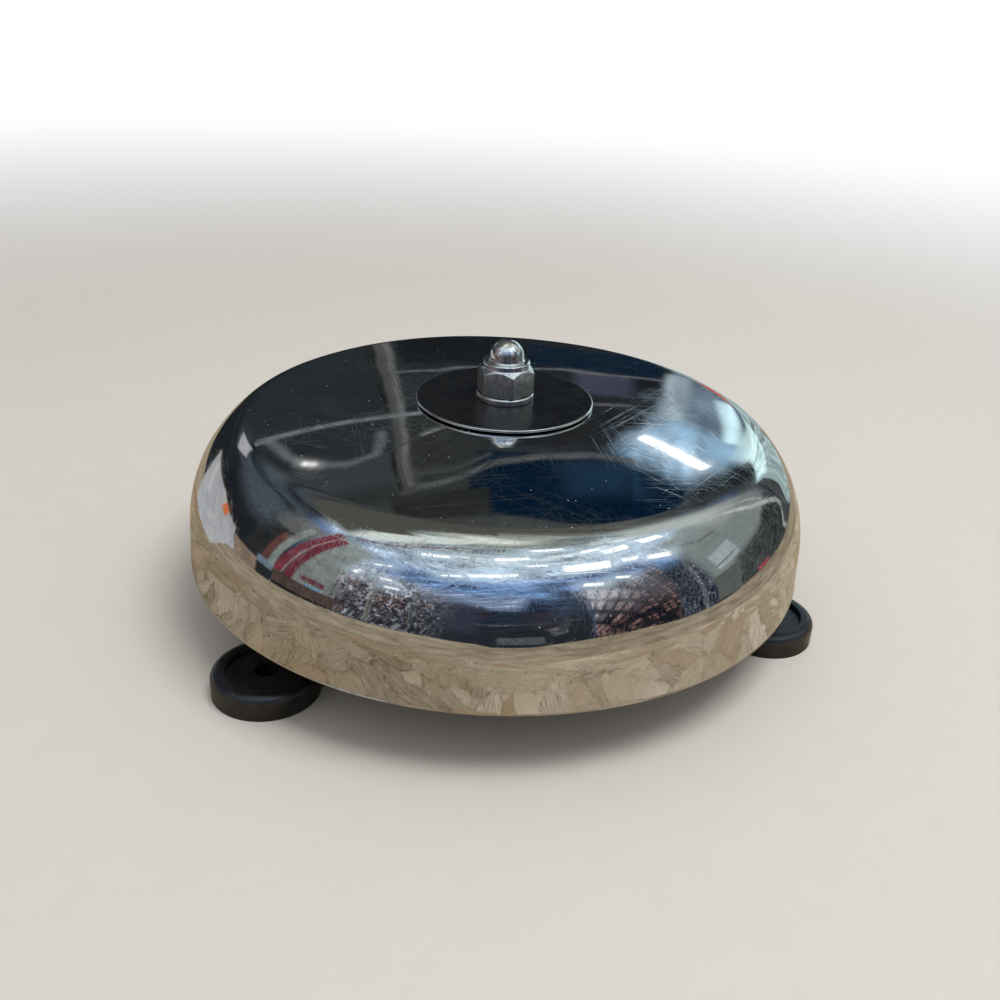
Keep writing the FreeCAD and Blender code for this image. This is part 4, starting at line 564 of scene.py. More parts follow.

# %% [markdown]
# ## Washer and domed nut
# The washer is stamped and then tumbled, so its edges are round. The nut is cut from hexagon bar:
# the lathe takes a small chamfer at its foot and a wide one over its corners, and leaves a collar,
# in which a nylon ring sits, and a dome. Turning leaves fine rings. Satin stainless steel blurs
# what it reflects, more on the flats, which keep the drawn bar's streaks, and it picks up warm
# stains. A dark line is painted shade where the nut meets the washer.

# %% Finish of the nut and washer
stainless = Finish("satin_stainless", (0.62, 0.61, 0.585), 0.2, metallic=1.0)
from_axis = stainless.distance(stainless.x, stainless.y)
rings = stainless.streaks(from_axis * 2.2, from_axis * 0.1, stainless.z * 9, 2.0, 0.6)
mottle = stainless.step(stainless.noise(0.55, 4.0, 0.6), 0.42, 0.72)
nicks = stainless.step(stainless.noise(3.0, 2.0, 0.6, bend=0.5), 0.69, 0.78)
flats = stainless.step(from_axis, 6.15, 6.4)
drag = stainless.streaks(stainless.x * 1.1, stainless.y * 1.1, stainless.z * 0.5, 3.0, 0.6)
stainless.set("Roughness", 0.15 + flats * (0.02 + drag * 0.2) + mottle * 0.08 + nicks * 0.25)
stainless.set("Metallic", 1 - flats * (0.005 + drag * 0.03))
tinted = stainless.mix(mottle * 0.5, (0.88, 0.875, 0.86), (0.62, 0.57, 0.49))
# Painted shade: a dark ring where the nut's foot meets the washer's top.
painted_joint_shade = stainless.ring(stainless.z, NUT_Z, 0.3) * (1 - stainless.step(from_axis, 6.85, 7.1))
above = stainless.step(stainless.z, NUT_Z, NUT_Z + 0.5)
drawn_bar = flats * above * stainless.step(drag, 0.36, 0.66) * 0.5
streaked = stainless.mix(drawn_bar, tinted, (0.34, 0.35, 0.34))
spent = stainless.mix(nicks * 0.5, streaked, (0.3, 0.28, 0.25))
stainless.set("Base Color", stainless.mix(painted_joint_shade, spent, (0.02, 0.02, 0.02)))
stainless.emboss(rings * 0.6 + nicks * 0.4, 0.008)
stainless.tell("for the nut and its washer")

# %% Washer
WASHER = {"hole": 4.2, "radius": 7.4}
washer_outline = outline(
    (WASHER["hole"], DISC_TOP_Z, 0.1),
    (WASHER["radius"], DISC_TOP_Z, 0.25),
    (WASHER["radius"], NUT_Z, 0.5),
    (WASHER["hole"], NUT_Z, 0.2),
)
piece("crown_washer", [(turned(washer_outline, 144), True)], "nut_washer", stainless.material)

# %% Domed nut
NUT = {"flats": 13.0, "corner_height": 5.6, "collar": 6.1, "bore": 4.05, "dome": 4.45}
NUT |= {"corner": NUT["flats"] / math.sqrt(3), "turned": 7.62, "neck": 8.4, "dome_foot": 9.3}
ring_low, ring_high = (place - NUT_Z for place in span("nut_locking_ring", "Z"))
ring_radius = span("nut_locking_ring", "X")[1]
cone_top = NUT["corner_height"] + NUT["corner"] - NUT["collar"]
nut_outline = outline(
    (0, ring_high),
    (ring_radius, ring_high),
    (ring_radius, ring_low),
    (NUT["bore"], ring_low, 0.1),
    (NUT["bore"], 0.4, 0.1),
    (4.6, 0, 0.1),
    (6.75, 0, 0.15),
    (NUT["turned"], 0.5, 0.2),
    (NUT["turned"], NUT["corner_height"] - 0.11, 0.3),
    (NUT["collar"], cone_top, 0.4),
    (NUT["collar"], NUT["neck"], 0.6),
    (NUT["dome"], NUT["neck"], 0.35),
    (NUT["dome"], NUT["dome_foot"]),
    closed=False,
    steps=8,
)
dome = NUT["dome"] * spoke(np.linspace(0, math.pi / 2, 26)[1:]) + (0, NUT["dome_foot"])
dome[-1, 0] = 0.0
nut_outline = divided(np.concatenate([nut_outline, dome]), 0.16, closed=False) + (0, NUT_Z)
nut_grid = hexagonal(nut_outline, NUT["flats"], soft=0.05, inside=5.0)
piece("domed_nut", [(nut_grid, False)], "cap_nut", stainless.material)

# %% [markdown]
# ## Black housing
# The drum and its lugs are moulded from glass-filled nylon. It comes out of the mould with a fine
# spark-eroded grain. Handling leaves a thin grey film in clouds, and dust leaves a few pale specks.
# The solids of the drum and its lid already have their rounded edges, so they keep their own mesh
# and only get this finish: soft noise for the clouds and film, and Voronoi cells for the specks.

# %% Finish of the housing
moulded = Finish("moulded_black", (0.012, 0.0125, 0.014), 0.5, Specular_IOR_Level=0.7)
grain = moulded.noise(3.2, 3.0, 0.6)
cloudy = moulded.step(moulded.noise(0.11, 4.0, 0.62, bend=0.4), 0.42, 0.72)
film = moulded.step(moulded.noise(0.35, 5.0, 0.7, bend=0.3), 0.36, 0.82)
specks = 1 - moulded.step(moulded.cells(0.9), 0.05, 0.11)
dust = specks * moulded.step(moulded.noise(0.2), 0.4, 0.6)
shade = moulded.mix(cloudy * 0.4 + film * 0.4, (0.005, 0.006, 0.008), (0.032, 0.038, 0.05))
moulded.set("Base Color", moulded.mix(dust * 0.5, shade, (0.3, 0.29, 0.27)))
moulded.set("Roughness", 0.27 + cloudy * 0.12 + film * 0.14)
moulded.emboss(grain, 0.02)
moulded.cover("base_housing", "housing_lid")

# %% [markdown]
# ## Hardware under the gong
# The bolt, its spacer and its washers are zinc plated: a cool grey with a faint blue and yellow
# cast that changes over a few millimetres. Rubber is dull with a pale bloom, and nylon is milky
# with flow marks. The small screws and seals keep their solids and only take these finishes.

# %% Zinc plate
zinc = Finish("zinc_plate", (0.6, 0.61, 0.62), 0.32, metallic=1.0)
cast = zinc.step(zinc.noise(0.35, 3.0, 0.6, bend=0.8), 0.35, 0.7)
zinc.set("Base Color", zinc.mix(cast, (0.58, 0.61, 0.66), (0.68, 0.66, 0.58)))
zinc.set("Roughness", 0.26 + zinc.noise(1.3, 3.0) * 0.16 + zinc.cells(1.6) * 0.04)
zinc.emboss(zinc.noise(6.0, 2.0), 0.004)
zinc.cover("lid_screws", "yoke_screws", "board_screws")

# %% Rubber
rubber = Finish("black_rubber", (0.018, 0.018, 0.019), 0.62)
bloom = rubber.step(rubber.noise(0.4, 4.0, 0.65), 0.45, 0.75)
rubber.vary(bloom, (0.014, 0.014, 0.015), (0.042, 0.041, 0.039), 0.52, 0.25)
rubber.emboss(rubber.noise(4.0, 3.0, 0.6), 0.012)
rubber.cover("lid_gasket", "bolt_seal", "pillar_seal", "stop_buffer", "gland_seal", "gland_ring")

# %% Nylon
nylon = Finish("natural_nylon", (0.72, 0.7, 0.62), 0.42, Subsurface_Weight=0.1)
flow = nylon.noise(0.5, place=nylon.vector(nylon.x * 0.3, nylon.y, nylon.z))
nylon.vary(flow, (0.64, 0.61, 0.52), (0.8, 0.78, 0.71), 0.34, 0.18)
nylon.emboss(nylon.noise(2.0, 3.0), 0.006)
nylon.cover("nut_locking_ring", "striker_bush")

# %% [markdown]
# The larger pieces are turned or stamped like the crown's pieces. Their solids have the same
# shape but sharp edges, so new surfaces with rounded edges stand for them. The bolt and the
# spacer are cut from hexagon bar, and the cushion is a rubber bush with a flange.

# %% Bolt
BOLT = {"shank": 4.0, "flats": 13.0, "head": 5.3, "turned": 7.6, "end_chamfer": 0.8}
HEAD_Z, BOLT_END_Z = span("gong_bolt", "Z")
bolt_outline = outline(
    (0, HEAD_Z),
    (6.0, HEAD_Z, 0.2),
    (BOLT["turned"], HEAD_Z + 0.9, 0.2),
    (BOLT["turned"], HEAD_Z + BOLT["head"], 0.15),
    (BOLT["shank"], HEAD_Z + BOLT["head"], 0.25),
    (BOLT["shank"], BOLT_END_Z - 0.9),
    (BOLT["shank"] - BOLT["end_chamfer"], BOLT_END_Z, 0.15),
    (0, BOLT_END_Z),
    closed=False,
)
bolt_grid = hexagonal(divided(bolt_outline, 0.35, closed=False), BOLT["flats"], inside=5.0)
piece("gong_bolt_turned", [(bolt_grid, False)], "gong_bolt", zinc.material)


# %% Washers and spacer
def ring_outline(node, inner, edge):
    """Outline of a plain ring with rounded edges, as tall and as wide as a solid on the axis."""
    low, high = span(node, "Z")
    outer = span(node, "X")[1]
    return outline((inner, low, edge), (outer, low, edge), (outer, high, edge), (inner, high, edge))


for node in ("pillar_washer", "gong_washer"):
    ring_grid = turned(ring_outline(node, 4.25, 0.3), 120)
    piece(f"{node}_stamped", [(ring_grid, True)], node, zinc.material)

SPACER = {"bore": 4.3, "face": 7.3, "turned": 8.2, "chamfer": 0.5, "flats": 14.0}
low, high = span("gong_pillar", "Z")
pillar_outline = outline(
    (SPACER["bore"], low, 0.2),
    (SPACER["face"], low, 0.2),
    (SPACER["turned"], low + SPACER["chamfer"], 0.2),
    (SPACER["turned"], high - SPACER["chamfer"], 0.2),
    (SPACER["face"], high, 0.2),
    (SPACER["bore"], high, 0.2),
)
pillar_grid = hexagonal(divided(pillar_outline, 0.25), SPACER["flats"], inside=5.0)
piece("hexagonal_spacer", [(pillar_grid, True)], "gong_pillar", zinc.material)

# %% Cushion
CUSHION = {"bore": 4.2, "flange": 3.0, "collar": 5.85}
low, high = span("gong_cushion", "Z")
outer = span("gong_cushion", "X")[1]
cushion_outline = outline(
    (CUSHION["bore"], low, 0.2),
    (outer, low, 0.6),
    (outer, low + CUSHION["flange"], 0.4),
    (CUSHION["collar"], low + CUSHION["flange"], 0.15),
    (CUSHION["collar"], high, 0.2),
    (CUSHION["bore"], high, 0.2),
)
piece("rubber_cushion", [(turned(cushion_outline, 120), True)], "gong_cushion", rubber.material)

# %% [markdown]
# ## Striker, spring and bellows
# The head is hardened and ground, and the neck behind it holds the lip of a rubber bellows. Its
# striking face is a shallow arc: the radius of a cap is (half its width squared plus its height
# squared) over twice its height.

# %% Striker head
NECK_X, TIP_X = span("striker_head", "X")
HEAD = {"radius": 4.5, "length": 7.5, "crown": 1.6, "neck": 3.0, "socket": 4.05, "hole": 2.05}
hardened = Finish("hardened_steel", (0.5, 0.5, 0.51), 0.2, metallic=1.0)
ground_rings = hardened.streaks(hardened.x * 6, hardened.y * 0.4, hardened.z * 0.4, 2.0, 0.6)
blued = hardened.step(hardened.noise(0.3, 3.0), 0.45, 0.7)
hardened.set("Base Color", hardened.mix(blued, (0.5, 0.5, 0.51), (0.36, 0.33, 0.31)))
hardened.set("Roughness", 0.16 + ground_rings * 0.16)
hardened.emboss(ground_rings, 0.004)
crown_radius = (HEAD["radius"] ** 2 + HEAD["crown"] ** 2) / (2 * HEAD["crown"])
crown_turn = np.linspace(math.asin(HEAD["radius"] / crown_radius), 0, 18)[1:, None]
crown_place = TIP_X - crown_radius + crown_radius * np.cos(crown_turn)
crown_arc = np.concatenate([crown_radius * np.sin(crown_turn), crown_place], axis=1)
head_outline = outline(
    (0, NECK_X + HEAD["socket"]),
    (HEAD["hole"], NECK_X + HEAD["socket"]),
    (HEAD["hole"], NECK_X, 0.1),
    (HEAD["neck"], NECK_X, 0.2),
    (HEAD["neck"], TIP_X - HEAD["length"], 0.25),
    (HEAD["radius"], TIP_X - HEAD["length"], 0.35),
    (HEAD["radius"], TIP_X - HEAD["crown"] - 0.05),
    closed=False,
)
head_outline = np.concatenate([head_outline, crown_arc])
on_striker = (0, 0, STRIKER_Z)
head_grid = turned(head_outline, 96, "X", on_striker)
piece("ground_head", [(head_grid, False)], "striker_head", hardened.material, "striker")

# %% [markdown]
# The bellows and the return spring change their length as the striker moves. A shape key could
# do that; here each is made once, at the length that the frame gives it, and rides on no body.

# %% Bellows
soft = Finish("bellows_rubber", (0.02, 0.02, 0.021), 0.58)
crease = soft.step(soft.noise(0.9, 4.0, 0.6), 0.4, 0.7)
soft.vary(crease, (0.016, 0.016, 0.017), (0.045, 0.045, 0.044), 0.5, 0.22)
soft.emboss(soft.noise(5.0, 3.0, 0.6), 0.01)
SPIGOT_X = BELLOWS_X[0] + 2.3
CUFF, LIP, VALLEY, PEAK, RUBBER_WALL = (6.6, 7.5), (3.1, 4.0), 5.4, 8.2, 0.9
quarter = (NECK_X - SPIGOT_X) / 4
depths = (VALLEY, PEAK, VALLEY)
folds = [(radius, SPIGOT_X + (k + 1) * quarter) for k, radius in enumerate(depths)]
bellows_outline = outline(
    (CUFF[0], BELLOWS_X[0], 0.2),
    (CUFF[1], BELLOWS_X[0], 0.25),
    (CUFF[1], SPIGOT_X, 0.4),
    *[(radius, place, 0.55) for radius, place in folds],
    (LIP[1], NECK_X, 0.3),
    (LIP[1], BELLOWS_X[1], 0.25),
    (LIP[0], BELLOWS_X[1], 0.1),
    (LIP[0], NECK_X, 0.2),
    *[(radius - RUBBER_WALL, place, 0.3) for radius, place in folds[::-1]],
    (CUFF[0], SPIGOT_X, 0.2),
)
bellows_grid = turned(bellows_outline, 108, "X", on_striker)
bellows = piece("folded_bellows", [(bellows_grid, True)], "striker_bellows", soft.material, None)
STRIKER_Z * MM
STRIKER_Z * MM
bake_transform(bellows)

# %% The wire ring that clamps the bellows
spring_steel = Finish("spring_wire", (0.55, 0.55, 0.56), 0.28, metallic=1.0)
drawn = spring_steel.noise(1.4, 3.0, 0.6)
spring_steel.vary(drawn, (0.48, 0.48, 0.5), (0.64, 0.63, 0.61), 0.2, 0.22)
clamp_low, clamp_high = span("bellows_clamp", "X")
wire = (clamp_high - clamp_low) / 2
round_turn = np.arange(14) * TURN / 14
clamp_radius = span("bellows_clamp", "Y")[1] - wire
clamp_place = clamp_low + wire + wire * np.sin(round_turn)
clamp_outline = np.stack([clamp_radius + wire * np.cos(round_turn), clamp_place], 1)
clamp_grid = turned(clamp_outline, 120, "X", on_striker)
piece("clamp_wire", [(clamp_grid, True)], "bellows_clamp", spring_steel.material)

# %% [markdown]
# A spring is a wire carried along a helix, with dead turns at both ends where the wire lies on
# itself. A curve with a round bevel would do, but a grid keeps its even faces when it is
# squeezed.

# %% Return spring
SPRING = {"radius": 3.0, "wire": 0.25, "turns": 7.0, "dead": 1.0}
spring_low, spring_high = span("return_spring", "X")


def helix_tube(low, high, count=420, sides=10):
    """Wire surface: centre line (x, R cos t, R sin t), and a circle across it at each t.

    Across the line lie the unit step outwards and the step along X made square to the line.
    x rises by one wire to the turn in the dead turns and evenly between them.
    """
    wire, dead, live = SPRING["wire"], SPRING["dead"], SPRING["turns"]
    turns = np.linspace(0, live + 2 * dead, count)
    dead_rise = dead * wire * 2
    stops = [0, dead, dead + live, live + 2 * dead]
    rises = [low + wire, low + wire + dead_rise, high - wire - dead_rise, high - wire]
    x, t = np.interp(turns, stops, rises), turns * TURN
    out = np.stack([0 * t, np.cos(t), np.sin(t)], 1)
    centre = SPRING["radius"] * out + np.stack([x, 0 * t, 0 * t], 1) + (0, 0, STRIKER_Z)
    ahead = np.gradient(centre, axis=0)
    ahead /= np.linalg.norm(ahead, axis=1, keepdims=True)
    aside = np.cross(ahead, out)
    v = (np.arange(sides) * TURN / sides)[:, None, None]
    grid = centre + wire * (np.cos(v) * out + np.sin(v) * aside)
    poles = [grid[:, :1] * 0 + centre[k] for k in (0, -1)]
    return np.concatenate([poles[0], grid, poles[1]], axis=1)


spring_grid = helix_tube(spring_low, spring_high)
wire_finish = spring_steel.material
spring = piece("coiled_spring", [(spring_grid, False)], "return_spring", wire_finish, None)
STRIKER_Z * MM
STRIKER_Z * MM
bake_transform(spring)

# %% [markdown]
# ## Cable gland
# The gland is where the cable enters. Its cap is a hexagon that runs out into a round nose, and
# its body has a hexagon of the same size against the drum. It is black nylon again, but
# a smoother grade than the housing, scuffed where the spanner goes. The thread is drawn as
# rings: a true helix would look the same behind the cap and is harder to close at its ends.

# %% The gland's cap
gland_nylon = Finish("gland_nylon", (0.02, 0.0205, 0.022), 0.38)
scuffs = gland_nylon.step(gland_nylon.noise(0.9, 4.0, 0.65, bend=0.5), 0.52, 0.78)
gland_nylon.vary(scuffs, (0.016, 0.0165, 0.018), (0.06, 0.061, 0.063), 0.32, 0.25)
gland_nylon.emboss(gland_nylon.noise(4.0, 3.0, 0.55), 0.01)
GLAND = {"flats": 14.0, "turned": 8.4, "face": 7.6, "chamfer": 0.5}
CAP = {"thread": 6.2, "nose": 7.0, "mouth": 3.7, "hexagon": 6.2, "nose_start": 7.4, "floor": 2.2}
as_gland = {"along": "Y", "centre": (0, 0, GLAND_Z), "inside": 6.4, "turn": 30}
cap_end, cap_start = span("gland_cap", "Y")
cap_outline = outline(
    (CAP["thread"], cap_start, 0.15),
    (GLAND["face"], cap_start, 0.2),
    (GLAND["turned"], cap_start - GLAND["chamfer"], 0.2),
    (GLAND["turned"], cap_start - CAP["hexagon"], 0.2),
    (CAP["nose"], cap_start - CAP["nose_start"], 0.3),
    (CAP["nose"], cap_end, 1.1),
    (CAP["mouth"], cap_end, 0.4),
    (CAP["mouth"], cap_end + CAP["floor"], 0.15),
    (CAP["thread"], cap_end + CAP["floor"], 0.2),
)
cap_grid = hexagonal(divided(cap_outline, 0.3), GLAND["flats"], **as_gland)
piece("gland_dome_cap", [(cap_grid, True)], "gland_cap", gland_nylon.material)

# %% The gland's body
BODY = {"bore": 4.0, "thread": 6.0, "groove": 0.45, "pitch": 1.5, "seal": 5.05, "seal_depth": 6.1}
body_end, body_start = span("gland_body", "Y")
flange_back = -56.0
flange_front = flange_back - 4.0
crest = np.arange(body_end + 1.0, flange_front - 0.8, BODY["pitch"] / 2)[::-1]
thread = [(BODY["thread"] - BODY["groove"] * (k % 2), place, 0.06) for k, place in enumerate(crest)]
body_outline = outline(
    (BODY["bore"], body_start, 0.2),
    (BODY["thread"], body_start, 0.3),
    (BODY["thread"], flange_back, 0.1),
    (GLAND["face"], flange_back, 0.2),
    (GLAND["turned"], flange_back - GLAND["chamfer"], 0.2),
    (GLAND["turned"], flange_front + GLAND["chamfer"], 0.2),
    (GLAND["face"], flange_front, 0.2),
    (BODY["thread"], flange_front, 0.1),
    *thread,
    (5.6, body_end, 0.15),
    (BODY["seal"], body_end, 0.1),
    (BODY["seal"], body_end + BODY["seal_depth"], 0.1),
    (BODY["bore"], body_end + BODY["seal_depth"], 0.1),
)
body_grid = hexagonal(divided(body_outline, 0.4), GLAND["flats"], **as_gland)
piece("gland_threaded_body", [(body_grid, True)], "gland_body", gland_nylon.material)

# %% [markdown]
# ## Solenoid
# The coil's wire is wound in tight layers, so its outside is a row of fine ridges. Each turn could
# be a wire of its own, but only the outside shows: there the outline is a sine of the place along
# the coil, without its sign. A yellow tape goes over it. The yoke is bent from strip steel, and
# the plunger is ground to slide, so both have streaks along X.

# %% Coil winding
coil_low, coil_high = span("coil_winding", "X")
COIL = {"radius": 9.9, "inner": 6.5, "wire": 0.4, "groove": 0.09}
wires = np.linspace(coil_low, coil_high, 281)
ridge = np.abs(np.sin((wires - coil_low) * math.pi / COIL["wire"]))
wound = np.stack([COIL["radius"] - COIL["groove"] * (1 - ridge), wires], axis=1)
coil_outline = np.concatenate([wound, [(COIL["inner"], coil_high), (COIL["inner"], coil_low)]])
enamel = Finish("enamelled_copper", (0.6, 0.26, 0.12), 0.26, metallic=0.9)
shade = enamel.streaks(enamel.x * 2.5, enamel.y * 0.3, enamel.z * 0.3, 2.0)
enamel.vary(shade, (0.5, 0.2, 0.09), (0.72, 0.34, 0.16), 0.2, 0.16)
coil_grid = turned(coil_outline, 96, "X", (0, 0, STRIKER_Z))
piece("wound_coil", [(coil_grid, True)], "coil_winding", enamel.material)

# %% Finishes of the solenoid's iron
strip_steel = Finish("strip_steel", (0.55, 0.56, 0.57), 0.34, metallic=1.0)
rolled = strip_steel.streaks(strip_steel.x * 0.2, strip_steel.y * 3, strip_steel.z * 3, 3.0, 0.6)
strip_steel.vary(rolled, (0.48, 0.49, 0.51), (0.62, 0.62, 0.6), 0.26, 0.2)
strip_steel.emboss(rolled, 0.004)
strip_steel.cover("solenoid_yoke", "yoke_strap", "pole_piece")

sliding = Finish("ground_plunger", (0.52, 0.52, 0.53), 0.22, metallic=1.0)
scored = sliding.streaks(sliding.x * 0.15, sliding.y * 4, sliding.z * 4, 2.0, 0.6)
sliding.vary(scored, (0.46, 0.46, 0.48), (0.6, 0.6, 0.59), 0.16, 0.18)
sliding.cover("plunger")
stainless.cover("push_rod", "plunger_pin")

# %% Finishes of the bobbin, tape and brass
bobbin = Finish("bobbin_plastic", (0.6, 0.57, 0.48), 0.36)
swirl = bobbin.noise(0.35, 3.0, 0.5, bend=0.8)
bobbin.vary(swirl, (0.54, 0.5, 0.41), (0.66, 0.63, 0.54), 0.3, 0.15)
bobbin.emboss(bobbin.noise(3.0, 2.0), 0.005)
bobbin.cover("coil_bobbin")

tape = Finish("yellow_tape", (0.72, 0.5, 0.06), 0.24)
ripple = tape.streaks(tape.x * 0.8, tape.y * 0.25, tape.z * 0.25, 2.0)
tape.vary(ripple, (0.62, 0.4, 0.04), (0.8, 0.58, 0.09), 0.18, 0.16)
tape.emboss(ripple, 0.03)
tape.cover("coil_tape")

brass = Finish("drawn_brass", (0.72, 0.52, 0.22), 0.28, metallic=1.0)
tarnish = brass.step(brass.noise(0.5, 4.0, 0.6), 0.4, 0.7)
brass.vary(tarnish, (0.76, 0.56, 0.25), (0.5, 0.34, 0.14), 0.2, 0.22)
brass.cover("guide_tube", "terminal_screws")

# %% [markdown]
# ## Circuit board
# A small board feeds the coil. Its green mask lies over copper tracks, which show as slightly
# paler, raised bands. They are a few hundredths of a millimetre high, too thin to model, so they
# are drawn in the finish: each is a band round a straight line in the board's own millimetres.

# %% Finish of the board
mask = Finish("green_board", (0.02, 0.16, 0.06), 0.3)
weave = mask.noise(4.0, 2.0, 0.5)
FIRST_TRACK, MIDDLE_TRACK, LAST_TRACK, CROSS_TRACK = -31.0, -26.0, -18.0, 2.0
track = mask.ring(mask.x, FIRST_TRACK, 0.9) + mask.ring(mask.x, MIDDLE_TRACK, 0.9)
track = track + mask.ring(mask.x, LAST_TRACK, 1.1)
joins = mask.ring(mask.y, CROSS_TRACK, 0.8) * mask.step(mask.x, FIRST_TRACK - 1, FIRST_TRACK)
joins = joins * (1 - mask.step(mask.x, LAST_TRACK, LAST_TRACK + 1))
copper = mask.node("ShaderNodeClamp", {"Value": track + joins})
mask.set("Base Color", mask.mix(copper, (0.012, 0.13, 0.05), (0.05, 0.26, 0.09)))
mask.set("Roughness", 0.24 + weave * 0.14)
mask.emboss(copper + weave * 0.15, 0.03)
mask.cover("circuit_board")

# %% Finishes of the parts on the board
block = Finish("grey_terminal", (0.2, 0.23, 0.26), 0.45)
mottled = block.noise(0.8, 4.0, 0.6)
seams = block.ring(block.y, sum(span("terminal_block", "Y")) / 2, 0.25)
worn = block.mix(mottled, (0.13, 0.16, 0.19), (0.27, 0.3, 0.32))
block.set("Base Color", block.mix(seams, worn, (0.03, 0.035, 0.04)))
block.set("Roughness", 0.38 + mottled * 0.18)
block.emboss(block.noise(5.0, 2.0), 0.008)
block.cover("terminal_block")

epoxy = Finish("diode_epoxy", (0.02, 0.02, 0.021), 0.35)
band = epoxy.ring(epoxy.y, span("rectifier_diode", "Y")[1] - 6.5, 0.7)
pitted = epoxy.noise(3.0, 3.0)
epoxy.set("Base Color", epoxy.mix(band, (0.016, 0.016, 0.017), (0.55, 0.55, 0.54)))
epoxy.set("Roughness", 0.28 + pitted * 0.2)
epoxy.cover("rectifier_diode")

dip = Finish("blue_dip", (0.02, 0.08, 0.34), 0.3)
runs = dip.noise(0.9, 3.0, 0.5)
dip.vary(runs, (0.012, 0.06, 0.28), (0.035, 0.12, 0.44), 0.2, 0.2)
dip.emboss(runs, 0.06)
dip.cover("surge_varistor")

sleeve = Finish("red_sleeve", (0.36, 0.03, 0.025), 0.45)
woven = sleeve.noise(3.2, 3.0, 0.6)
sleeve.vary(woven, (0.28, 0.02, 0.018), (0.44, 0.05, 0.04), 0.38, 0.2)
sleeve.emboss(woven, 0.02)
sleeve.cover("coil_lead_start", "coil_lead_finish")

# %% [markdown]
# ## Camera
# The camera stands about 28 cm away and looks down on the bell. A camera could be aimed with
# a Track To constraint, but a hand never holds one quite level or straight. So its place is an
# elevation and a distance from a point on the axis, it is turned off that point, tipped and
# rolled by a few degrees, and the whole stand is turned round the bell.

# %% Place the camera
STAND = {"turn": -135.17, "elevation": 23.2335, "distance": 278.1, "target": 43.7}
HAND = {"yaw": 2.1842, "pitch": -3.1759, "roll": 2.9157}
LENS = {"focal": 1059.13, "sensor": 36.0, "frame": 1000, "shift": -0.04}


def rotation(degrees, axis):
    """A turn about one axis as a 4 by 4 matrix."""
    return Matrix.Rotation(math.radians(degrees), 4, axis)


rise = math.radians(STAND["elevation"])
spot = Vector((0, -math.cos(rise), math.sin(rise))) * STAND["distance"]
spot.z += STAND["target"]
held = rotation(-HAND["yaw"], "Y") @ rotation(HAND["pitch"], "X") @ rotation(HAND["roll"], "Z")
camera = bpy.data.objects.new("camera", bpy.data.cameras.new("camera"))
bpy.context.scene.collection.objects.link(camera)
camera.matrix_world = (
    rotation(STAND["turn"], "Z")
    @ Matrix.Translation(spot * MM)
    @ rotation(90 - STAND["elevation"], "X")
    @ held
)
camera.data.sensor_width = LENS["sensor"]
camera.data.lens = LENS["focal"] * LENS["sensor"] / LENS["frame"]
camera.data.shift_x = LENS["shift"]
camera.data.clip_start = 0.005
bpy.context.scene.camera = camera
spot = [round(part, 3) for part in camera.matrix_world.translation]
print(f"lens {camera.data.lens:.1f} mm, camera at {spot}")

# %% [markdown]
# ## Floor and lamps
# The floor is one pale warm sheet that fades into the white world. The world gives even light
# from all round, and one large soft lamp overhead gives the shadow its direction. A polished
# piece mirrors its surroundings more than it is lit, so the lamp is kept out of reflections, and
# what the metal sees comes next. Light Path tells the rays that see the backdrop, which get its
# full white, from the light that falls on the bell, which is half as strong.

# %% The floor
def seen_rays(tree):
    """1 for what the camera, a mirror or glass sees, 0 for light that falls on a surface."""
    path = tree.nodes.new("ShaderNodeLightPath")
    kinds = ("Camera", "Glossy", "Transmission")
    rays = [Value(tree, path.outputs[f"Is {kind} Ray"]) for kind in kinds]
    first = rays[0].sum("MAXIMUM", rays[0], rays[1])
    return first.sum("MAXIMUM", first, rays[2])


floor = Finish("pale_floor", (0.78, 0.74, 0.68), 0.75, Specular_IOR_Level=0.2)
from_bell = floor.distance(floor.x, floor.y)
clouded = floor.mix(floor.noise(0.12, 4.0, 0.6), (0.76, 0.72, 0.66), (0.8, 0.76, 0.7))
paler = floor.step(from_bell, 240.0, 800.0)
floor.set("Base Color", floor.mix(paler, clouded, (0.95, 0.95, 0.95)))
white = floor.node("ShaderNodeEmission", {"Color": (1, 1, 1, 1), "Strength": 1.0})
plain = Value(floor.tree, floor.shader.outputs[0])
fade = floor.step(from_bell, 320.0, 1000.0) * seen_rays(floor.tree)
shown = floor.node("ShaderNodeMixShader", {0: fade, 1: plain, 2: white})
plug(floor.tree, shown, floor.tree.nodes["Material Output"].inputs["Surface"])
GROUND_RADIUS = 30000.0
ground_outline = np.array([[0.0, 0.0], [400.0, 0.0], [GROUND_RADIUS, 0.0]])
ground = bpy.data.objects.new("ground", mesh_of("ground", [(turned(ground_outline, 64), False)]))
ground.data.materials.append(floor.material)
bpy.context.scene.collection.objects.link(ground)
floor.tell("on the floor")

# %% The world
world = bpy.data.worlds.new("studio")
bpy.context.scene.world = world
world.use_nodes = True
background = world.node_tree.nodes["Background"]
background.inputs["Color"].default_value = (1, 1, 1, 1)
plug(world.node_tree, 0.5 + seen_rays(world.node_tree) * 0.5, background.inputs["Strength"])
print("world:", len(world.node_tree.nodes), "nodes")


# %% Lamps
def lamp(name, place, size, watts):
    """A square soft lamp that points at the bell and that mirrors do not show."""
    made = bpy.data.objects.new(name, bpy.data.lights.new(name, "AREA"))
    bpy.context.scene.collection.objects.link(made)
    made.data.size, made.data.energy = size, watts
    made.location = place
    made.rotation_euler = (-Vector(place)).to_track_quat("-Z", "Y").to_euler()
    made.visible_glossy = False
    print(f"{name}: {size} m wide, {watts} W")
    return made


lamp("overhead_lamp", (-0.35, -0.1, 1.0), 0.5, 5.4)
